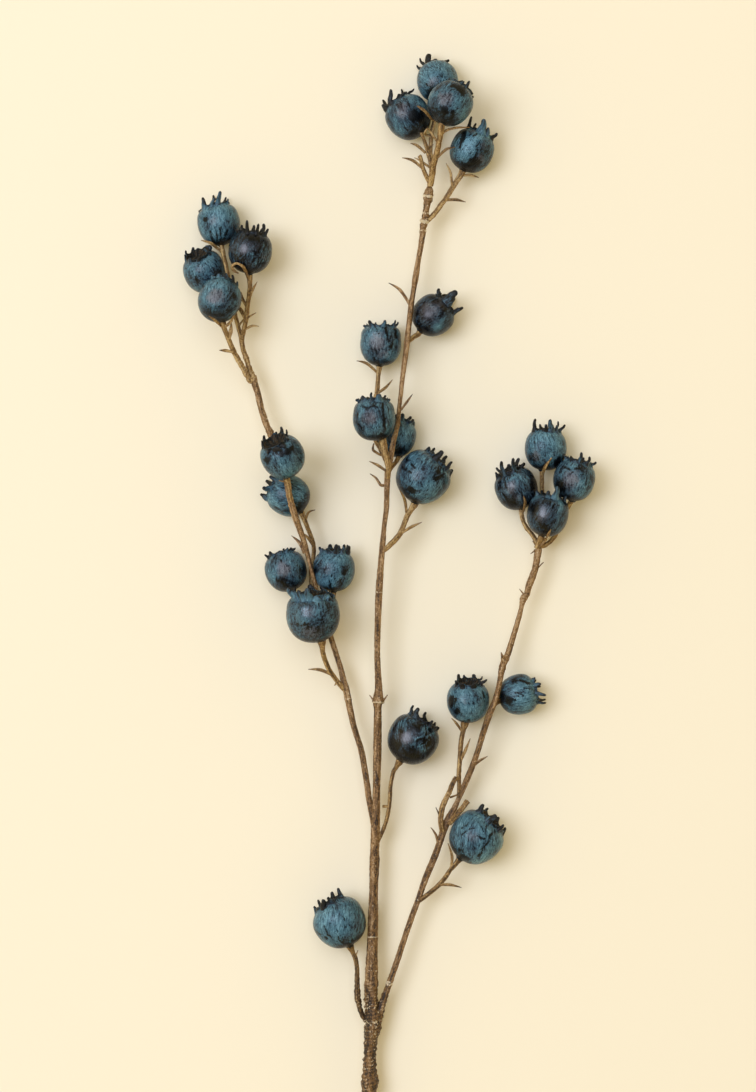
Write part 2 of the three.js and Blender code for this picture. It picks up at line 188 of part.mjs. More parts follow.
    strands: [
      [[28.5, 177.66, 8.8, 1.23], [26.63, 174.81, 9.0, 1.03], [24.71, 171.64, 9.3, 1.03], [22.72, 168.39, 9.6, 1.03], [20.73, 165.83, 9.8, 1.03], [17.63, 161.65, 9.9, 1.07], [15.49, 159.63, 9.9, 0.91]],
    ],
    bracts: [
      [[24.91, 172.76, 9.6, 0.6], [24.69, 175.2, 10.07, 0.6], [24.25, 178.1, 10.6, 0.6], [23.31, 180.28, 10.86, 0.36], [22.46, 181.79, 11.0, 0.12]],
      [[22.76, 167.46, 9.8, 0.6], [24.36, 167.53, 10.09, 0.64], [26.44, 167.48, 10.4, 0.67], [28.55, 167.0, 10.54, 0.4], [30.2, 166.51, 10.6, 0.12]],
      [[28.62, 177.17, 8.9, 0.56], [30.2, 177.31, 8.86, 0.58], [32.2, 177.34, 8.8, 0.6], [34.09, 176.88, 8.69, 0.36], [35.54, 176.4, 8.6, 0.12]],
    ],
  },
  b4_twig: {
    strands: [
      [[-65.74, 117.43, 19.6, 1.18], [-65.11, 115.35, 18.8, 0.99], [-64.13, 112.85, 17.6, 0.99], [-62.45, 108.61, 15.2, 0.99], [-60.38, 104.34, 12.8, 1.03], [-57.8, 100.06, 10.6, 1.07], [-55.43, 95.51, 9.3, 1.03]],
    ],
    bracts: [
      [[-65.94, 116.32, 19.6, 0.59], [-66.58, 116.87, 19.83, 0.62], [-67.5, 117.64, 23.03, 0.64], [-68.42, 118.39, 24.62, 0.67], [-69.34, 119.08, 25.42, 0.49], [-70.27, 119.74, 25.83, 0.32], [-70.93, 120.2, 25.97, 0.14]],
      [[-65.07, 116.32, 19.6, 0.59], [-64.49, 116.72, 19.83, 0.62], [-63.68, 117.3, 20.16, 0.64], [-62.9, 118.0, 20.6, 0.67], [-62.2, 118.9, 21.24, 0.49], [-61.54, 119.91, 23.6, 0.32], [-61.09, 120.63, 24.11, 0.14]],
      [[-63.59, 111.72, 17.4, 0.83], [-63.15, 113.07, 17.84, 0.87], [-62.68, 114.82, 18.4, 0.91], [-62.48, 116.6, 18.96, 0.53], [-62.4, 117.99, 19.4, 0.16]],
      [[-61.95, 106.72, 15.0, 0.67], [-63.38, 106.97, 15.39, 0.67], [-65.08, 107.23, 15.8, 0.67], [-66.38, 107.31, 15.95, 0.41], [-67.28, 107.34, 16.0, 0.14]],
    ],
  },
  c1_stalk: {
    strands: [
      [[11.17, 114.05, 8.9, 1.07], [9.45, 112.87, 10.0, 0.91], [7.33, 111.06, 11.8, 0.87]],
    ],
    bracts: [
    ],
  },
  c2_twig: {
    strands: [
      [[-4.09, 100.89, 8.2, 1.11], [-4.49, 97.94, 8.4, 0.91], [-4.89, 91.95, 8.9, 0.91], [-6.24, 85.95, 10.0, 0.87], [-7.15, 79.15, 11.2, 0.87], [-5.96, 72.74, 13.2, 0.87], [-3.38, 67.93, 15.2, 0.87], [-1.21, 63.34, 16.9, 0.87]],
    ],
    bracts: [
      [[-4.89, 98.92, 8.6, 0.6], [-6.73, 100.66, 9.19, 0.64], [-9.06, 102.52, 9.8, 0.68], [-11.3, 103.23, 9.98, 0.4], [-13.03, 103.5, 10.0, 0.12]],
      [[-4.33, 90.95, 9.2, 0.6], [-3.14, 91.72, 9.67, 0.62], [-1.59, 92.89, 10.2, 0.64], [-0.03, 94.55, 10.46, 0.38], [1.19, 95.97, 10.6, 0.12]],
      [[-3.38, 65.94, 15.8, 0.55], [-4.92, 66.75, 16.36, 0.57], [-6.43, 67.88, 17.0, 0.59], [-6.48, 69.3, 17.38, 0.41], [-6.15, 70.47, 17.6, 0.24]],
    ],
  },
  c3_twig: {
    strands: [
      [[-2.64, 71.07, 21.4, 1.3], [-2.01, 68.17, 20.8, 1.22], [-1.34, 65.04, 20.1, 1.18], [-0.55, 61.11, 19.4, 1.14], [-0.54, 57.58, 18.6, 0.91]],
    ],
    bracts: [
      [[-0.86, 59.14, 19.2, 0.51], [-2.5, 60.34, 19.43, 0.57], [-4.57, 61.74, 19.6, 0.63], [-6.54, 62.71, 19.43, 0.37], [-8.04, 63.37, 19.2, 0.12]],
    ],
  },
  c4_twig: {
    strands: [
      [[4.34, 64.94, 8.2, 0.95], [2.69, 63.59, 11.6, 0.83], [1.29, 61.81, 14.8, 0.83], [-0.03, 59.79, 16.8, 0.83]],
    ],
    bracts: [
    ],
  },
  c5_twig: {
    strands: [
      [[9.88, 46.46, 10.6, 1.43], [8.69, 44.64, 10.7, 1.15], [6.82, 41.58, 11.0, 1.07], [4.15, 34.99, 12.2, 1.07], [0.34, 30.58, 13.8, 1.07], [-2.39, 28.17, 14.2, 0.91]],
    ],
    bracts: [
      [[6.7, 43.24, 11.4, 0.6], [6.56, 44.55, 11.69, 0.62], [6.35, 46.42, 12.09, 0.65], [5.98, 48.19, 12.4, 0.67], [5.29, 49.77, 14.45, 0.49], [4.44, 51.27, 15.16, 0.3], [3.83, 52.31, 15.18, 0.12]],
      [[4.63, 35.02, 12.4, 0.59], [6.46, 36.2, 12.8, 0.63], [8.78, 37.6, 13.2, 0.67], [11.02, 38.63, 13.25, 0.4], [12.75, 39.34, 13.2, 0.12]],
    ],
  },
  d1_stalk: {
    strands: [
      [[-40.68, 56.25, 21.8, 1.1], [-39.87, 54.38, 21.0, 0.98], [-39.5, 51.24, 20.2, 0.87], [-38.7, 48.1, 19.2, 0.71]],
    ],
    bracts: [
      [[-40.8, 55.16, 21.6, 0.47], [-43.55, 55.7, 22.0, 0.14]],
    ],
  },
  d2_twig: {
    strands: [
      [[-34.57, 42.32, 7.4, 1.07], [-32.64, 37.12, 6.6, 0.88], [-30.39, 31.03, 5.6, 0.88], [-30.24, 26.36, 4.8, 0.84], [-31.12, 21.98, 4.5, 0.84], [-31.28, 17.59, 4.5, 0.84], [-30.48, 12.41, 4.6, 0.84], [-28.24, 8.03, 5.4, 0.84], [-25.92, 3.47, 6.2, 0.84]],
    ],
    bracts: [
      [[-33.46, 39.9, 7.2, 0.56], [-33.04, 41.52, 7.59, 0.54], [-32.29, 43.27, 8.0, 0.52], [-30.88, 43.98, 8.15, 0.32], [-29.62, 44.27, 8.2, 0.12]],
      [[-30.46, 30.19, 6.0, 0.6], [-31.38, 31.64, 6.49, 0.62], [-32.59, 33.33, 7.0, 0.64], [-33.89, 34.52, 7.16, 0.38], [-34.93, 35.32, 7.2, 0.12]],
    ],
  },
  d3_d4_twig: {
    strands: [
      [[-38.42, 11.5, 8.0, 0.99], [-36.42, 8.45, 6.4, 0.84], [-32.88, 5.83, 4.6, 0.84], [-28.89, 3.43, 4.4, 0.84], [-25.5, -0.35, 4.6, 0.88], [-23.3, -5.12, 5.0, 0.92]],
      [[-22.38, 10.79, 8.4, 1.03], [-22.87, 6.88, 7.6, 0.88], [-23.45, 2.06, 5.6, 0.88], [-23.38, -4.33, 5.0, 0.92]],
    ],
    bracts: [
    ],
  },
  d5_twig: {
    strands: [
      [[-26.74, -8.46, 17.0, 1.58], [-26.63, -10.37, 16.4, 1.07], [-26.21, -13.18, 15.2, 0.99], [-24.28, -18.54, 12.2, 0.99], [-21.65, -22.59, 10.0, 0.99], [-18.25, -26.91, 8.4, 0.95]],
    ],
    bracts: [
      [[-23.45, -20.83, 11.4, 0.67], [-25.22, -20.0, 11.8, 0.69], [-27.57, -19.14, 12.2, 0.71], [-30.14, -18.93, 12.25, 0.42], [-32.21, -18.94, 12.2, 0.12]],
      [[-20.66, -23.87, 9.8, 0.56], [-21.81, -25.45, 10.0, 0.2]],
    ],
  },
  f1_twig: {
    strands: [
      [[29.67, -41.47, 8.2, 1.47], [29.23, -43.61, 8.3, 0.99], [28.35, -48.49, 8.5, 0.95], [27.9, -54.44, 8.8, 0.91], [27.5, -61.05, 9.2, 0.91], [27.61, -65.68, 9.4, 0.79], [27.37, -70.17, 9.4, 0.72]],
    ],
    bracts: [
      [[28.82, -43.79, 8.6, 0.56], [27.86, -42.38, 8.99, 0.58], [26.66, -40.69, 9.4, 0.6], [25.55, -39.42, 9.55, 0.36], [24.71, -38.54, 9.6, 0.12]],
      [[28.38, -55.1, 9.0, 0.6], [29.14, -53.37, 9.4, 0.64], [30.15, -51.08, 9.8, 0.68], [31.21, -48.56, 9.85, 0.4], [32.05, -46.55, 9.8, 0.12]],
    ],
  },
  f2_stalk: {
    strands: [
      [[43.53, -31.35, 8.6, 0.99], [42.27, -32.45, 10.6, 0.87], [40.63, -33.89, 12.2, 0.79]],
    ],
    bracts: [
    ],
  },
  f3_twig: {
    strands: [
      [[27.75, -94.32, 10.4, 1.39], [26.32, -96.09, 10.2, 0.99], [24.02, -98.72, 10.0, 0.91], [21.77, -102.17, 9.7, 0.91], [18.91, -105.3, 9.4, 0.91], [15.54, -108.19, 9.1, 0.91], [11.33, -111.36, 8.8, 0.87]],
    ],
    bracts: [
      [[24.57, -97.69, 10.4, 0.6], [24.68, -96.44, 10.62, 0.61], [24.81, -94.65, 10.93, 0.62], [24.75, -92.86, 11.2, 0.63], [24.31, -91.06, 11.38, 0.46], [23.67, -89.25, 13.22, 0.29], [23.2, -87.98, 11.6, 0.12]],
      [[19.58, -104.66, 9.8, 0.6], [21.41, -104.5, 10.09, 0.64], [23.82, -104.48, 10.4, 0.67], [26.42, -105.04, 10.54, 0.4], [28.5, -105.62, 10.6, 0.12]],
    ],
  },
  bare_spur_twig: {
    strands: [
      [[21.17, -83.27, 9.6, 1.11], [20.44, -80.01, 10.6, 1.11], [20.59, -76.39, 11.2, 1.03], [21.46, -72.41, 11.4, 1.11], [23.6, -68.05, 11.4, 1.03], [25.11, -64.28, 11.3, 0.99], [26.46, -61.71, 11.2, 0.83]],
    ],
    bracts: [
      [[20.59, -78.51, 11.0, 0.6], [18.36, -73.73, 11.8, 0.14]],
    ],
  },
  short_spur: {
    strands: [
      [[23.8, -80.15, 11.4, 0.99], [26.73, -76.42, 13.4, 1.03], [29.09, -73.6, 14.0, 0.99], [30.91, -71.02, 14.2, 1.07]],
    ],
    bracts: [
    ],
  },
  g1_twig: {
    strands: [
      [[3.61, -56.09, 9.7, 1.47], [2.66, -57.85, 9.5, 0.95], [1.43, -60.05, 9.3, 0.83], [0.44, -65.03, 9.1, 0.79], [0.12, -70.0, 9.0, 0.79], [-0.4, -74.97, 9.0, 0.79], [-1.55, -79.95, 8.9, 0.79], [-3.54, -85.12, 8.8, 0.79], [-5.17, -88.71, 8.7, 0.72]],
    ],
    bracts: [
      [[-0.04, -73.49, 9.2, 0.6], [-2.74, -73.42, 9.6, 0.64]],
    ],
  },
  g2_twig: {
    strands: [
      [[-15.45, -129.63, 9.9, 1.31], [-14.74, -131.34, 9.6, 0.91], [-13.55, -134.16, 9.2, 0.95], [-12.96, -138.02, 8.9, 0.91], [-12.92, -143.13, 8.7, 1.03], [-12.8, -149.35, 8.5, 1.19], [-11.73, -153.99, 8.3, 0.95], [-10.14, -157.96, 8.1, 0.87]],
    ],
    bracts: [
      [[-13.63, -133.35, 9.4, 0.48], [-12.59, -130.72, 9.8, 0.14]],
    ],
  },
};

const COLOURS = { berry: 0x2c3b4a, stem: 0x4d3a2b, twig: 0x84653f };

const wasm = await Module();
wasm.setup();

// A closed BufferGeometry as a manifold-3d solid.
function toSolid(geometry) {
  const g = geometry.clone();
  g.deleteAttribute('normal');
  g.deleteAttribute('uv');
  const merged = mergeVertices(g, 1e-4);
  const index = merged.index.array;
  const faces = [];
  for (let i = 0; i < index.length; i += 3) {
    const [a, b, c] = [index[i], index[i + 1], index[i + 2]];
    if (a !== b && b !== c && a !== c) faces.push(a, b, c);
  }
  const build = () => new wasm.Manifold(new wasm.Mesh({
    numProp: 3,
    vertProperties: new Float32Array(merged.attributes.position.array),
    triVerts: new Uint32Array(faces),
  }));
  let solid = build();
  if (solid.volume() < 0) {
    for (let i = 0; i < faces.length; i += 3) [faces[i + 1], faces[i + 2]] = [faces[i + 2], faces[i + 1]];
    solid = build();
  }
  return solid;
}

// A manifold-3d solid as a BufferGeometry about the point origin.
function toGeometry(solid, origin) {
  const mesh = solid.getMesh();
  const positions = new Float32Array(mesh.numVert * 3);
  for (let i = 0; i < mesh.numVert; i++) {
    for (let k = 0; k < 3; k++) positions[3 * i + k] = mesh.vertProperties[mesh.numProp * i + k] - origin[k];
  }
  const g = new THREE.BufferGeometry();
  g.setAttribute('position', new THREE.BufferAttribute(positions, 3));
  g.setIndex(new THREE.BufferAttribute(new Uint32Array(mesh.triVerts), 1));
  g.computeVertexNormals();
  return g;
}

// The largest body of a solid, so that a cut leaves no loose chip.
function largest(solid) {
  const bodies = solid.decompose();
  return bodies.reduce((a, b) => (b.volume() > a.volume() ? b : a));
}

// A closed sweep: an elliptical section carried along a curve through points of [x, y, z, half width].
// flat is the half thickness at the root for a blade whose width lies across up, or null for a round tube.
function sweep(rows, sides, extra = 0, flat = null, up = new THREE.Vector3(0, 0, 1)) {
  const at = rows.map(([x, y, z]) => new THREE.Vector3(x, y, z));
  const count = at.length;
  const positions = [];
  let normal = null;
  for (let i = 0; i < count; i++) {
    const tangent = at[Math.min(i + 1, count - 1)].clone().sub(at[Math.max(i - 1, 0)]).normalize();
    if (flat !== null || !normal) {
      const seed = Math.abs(tangent.dot(up)) > 0.95 ? new THREE.Vector3(1, 0, 0) : up;
      normal = seed.clone().addScaledVector(tangent, -seed.dot(tangent)).normalize();
    } else {
      normal.addScaledVector(tangent, -normal.dot(tangent)).normalize();
    }
    const side = tangent.clone().cross(normal);
    const width = Math.max(rows[i][3], 0.12) + extra;
    const depth = flat === null ? width : Math.max(flat * (1 - 0.75 * i / (count - 1)), 0.1) + extra;
    for (let k = 0; k < sides; k++) {
      const turn = 2 * Math.PI * (k + 0.5) / sides;
      positions.push(at[i].clone().addScaledVector(side, width * Math.cos(turn)).addScaledVector(normal, depth * Math.sin(turn)));
    }
  }
  const index = [];
  for (let i = 0; i + 1 < count; i++) {
    for (let k = 0; k < sides; k++) {
      const a = i * sides + k, b = i * sides + (k + 1) % sides;
      index.push(a, b, b + sides, a, b + sides, a + sides);
    }
  }
  const last = (count - 1) * sides;
  for (let k = 1; k + 1 < sides; k++) {
    index.push(0, k + 1, k);
    index.push(last, last + k, last + k + 1);
  }
  const g = new THREE.BufferGeometry().setFromPoints(positions);
  g.setIndex(index);
  return toSolid(g);
}

// A berry's own turn: its lathe axis (+Y) to its crown's direction.
function turnOf(berry) {
  return new THREE.Quaternion().setFromUnitVectors(new THREE.Vector3(0, 1, 0), new THREE.Vector3(...berry.axis).normalize());
}

function lathed(berry, profile, extra) {
  const points = profile.map(([r, h]) => new THREE.Vector2(
    r === 0 ? 0 : r * berry.radius + extra,
    h * berry.radius + Math.sign(h) * extra * (r === 0 || Math.abs(h) > 0.6 ? 1 : 0),
  ));
  const g = new THREE.LatheGeometry(points, BERRY_SIDES);
  const matrix = new THREE.Matrix4().compose(new THREE.Vector3(...berry.centre), turnOf(berry), new THREE.Vector3(1, 1, 1));
  return toSolid(g.applyMatrix4(matrix));
}

// A sepal: a small pointed blade on the crown's ring. Azimuth 0 is the side that faces up.
function sepal(berry, [azimuth, length, flare, width]) {
  const axis = new THREE.Vector3(...berry.axis).normalize();
  const front = new THREE.Vector3(0, 0, 1).addScaledVector(axis, -axis.z).normalize();
  const side = axis.clone().cross(front);
  const turn = THREE.MathUtils.degToRad(azimuth), open = THREE.MathUtils.degToRad(flare);
  const out = front.clone().multiplyScalar(Math.cos(turn)).addScaledVector(side, Math.sin(turn));
  const root = new THREE.Vector3(...berry.centre).addScaledVector(axis, CROWN_ROOT * berry.radius).addScaledVector(out, (CROWN_RING - 0.02) * berry.radius);
  const along = axis.clone().multiplyScalar(Math.cos(open)).addScaledVector(out, Math.sin(open));
  const cone = new THREE.ConeGeometry(0.62, length * 1.12, 3);
  cone.translate(0, length * 0.44, 0);
  cone.scale(Math.max(width, 1.2), 1, SEPAL_THICKNESS);
  const across = along.clone().cross(out).normalize();
  const basis = new THREE.Matrix4().makeBasis(across, along, across.clone().cross(along));
  return toSolid(cone.applyMatrix4(basis).translate(...root.toArray()));
}

// The tape-wrapped wires have more sides than the moulded twigs.
const isWrapped = (name) => name.startsWith('main_stem') || name.endsWith('branch');

function stemSolid(name, extra = 0) {
  const { strands, bracts } = STEMS[name];
  const sides = isWrapped(name) ? STEM_SIDES : TWIG_SIDES;
  let solid = null;
  const join = (piece) => { solid = solid ? solid.add(piece) : piece; };
  for (const strand of strands) join(sweep(strand, sides, extra));
  for (const bract of bracts) join(sweep(bract, 3, extra, BRACT_THICKNESS / 2));
  return solid;
}

// What a point's solid leaves free for the pieces built before it.
const kept = [];
function clear(solid) {
  const mine = solid.boundingBox();
  for (const other of kept) {
    const b = other.boundingBox();
    if ([0, 1, 2].every((k) => mine.min[k] < b.max[k] && b.min[k] < mine.max[k])) solid = solid.subtract(other);
  }
  return largest(solid);
}

const slab = new THREE.BoxGeometry(800, 800, 20);
slab.translate(0, 0, -10);
const ground = toSolid(slab);

const spray = new THREE.Group();
const berries = new THREE.Group();
const twigs = new THREE.Group();
spray.add(berries, twigs);

function place(group, name, solid, origin, colour, roughness) {
  const material = new THREE.MeshStandardMaterial({ color: colour, roughness, metalness: 0 });
  const mesh = new THREE.Mesh(toGeometry(solid, origin), material);
  mesh.name = name;
  mesh.position.set(...origin);
  group.add(mesh);
}

const hulls = Object.fromEntries(Object.entries(BERRIES).map(([name, b]) => [name, lathed(b, BERRY_HULL, GAP)]));
for (const [name, b] of Object.entries(BERRIES)) {
  const lowered = { ...b, centre: [b.centre[0], b.centre[1], b.centre[2] - (b.centre[2] < b.radius + 0.2 ? FLAT : 0)] };
  let solid = lathed(lowered, BERRY_PROFILE, 0);
  for (const s of b.sepals) solid = solid.add(sepal(lowered, s));
  for (const [other, hull] of Object.entries(hulls)) if (other !== name) solid = solid.subtract(hull);
  place(berries, name, largest(solid.subtract(ground)), b.centre, COLOURS.berry, 0.75);
}
kept.push(...Object.values(hulls));
for (const name of Object.keys(STEMS)) {
  const wrapped = isWrapped(name);
  const solid = clear(stemSolid(name));
  place(twigs, name, solid, STEMS[name].strands[0][0].slice(0, 3), wrapped ? COLOURS.stem : COLOURS.twig, 0.85);
  kept.push(stemSolid(name, GAP));
}

export default spray;
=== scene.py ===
"""A faux blueberry spray lying on a pale ground: painted berries with pointed crowns, tape-wrapped wire stems and moulded twigs with bracts."""
import math

import bpy
import numpy as np
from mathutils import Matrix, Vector, noise


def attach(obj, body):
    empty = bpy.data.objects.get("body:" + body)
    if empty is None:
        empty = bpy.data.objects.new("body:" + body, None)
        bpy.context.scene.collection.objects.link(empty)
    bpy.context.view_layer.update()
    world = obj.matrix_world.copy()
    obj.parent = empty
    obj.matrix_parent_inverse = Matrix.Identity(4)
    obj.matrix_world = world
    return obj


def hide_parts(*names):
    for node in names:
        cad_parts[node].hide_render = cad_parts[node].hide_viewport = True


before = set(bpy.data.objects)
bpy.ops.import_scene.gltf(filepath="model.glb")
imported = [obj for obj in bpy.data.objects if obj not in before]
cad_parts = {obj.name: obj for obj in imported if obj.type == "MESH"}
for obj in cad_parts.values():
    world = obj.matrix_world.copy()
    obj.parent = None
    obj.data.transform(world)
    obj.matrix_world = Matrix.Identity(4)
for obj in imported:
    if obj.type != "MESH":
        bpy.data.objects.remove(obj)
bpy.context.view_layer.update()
scene = bpy.context.scene
MM = 0.001

# All tables are in millimetres in the part's frame.
CAM_X, CAM_Y = -4.57, 29.95
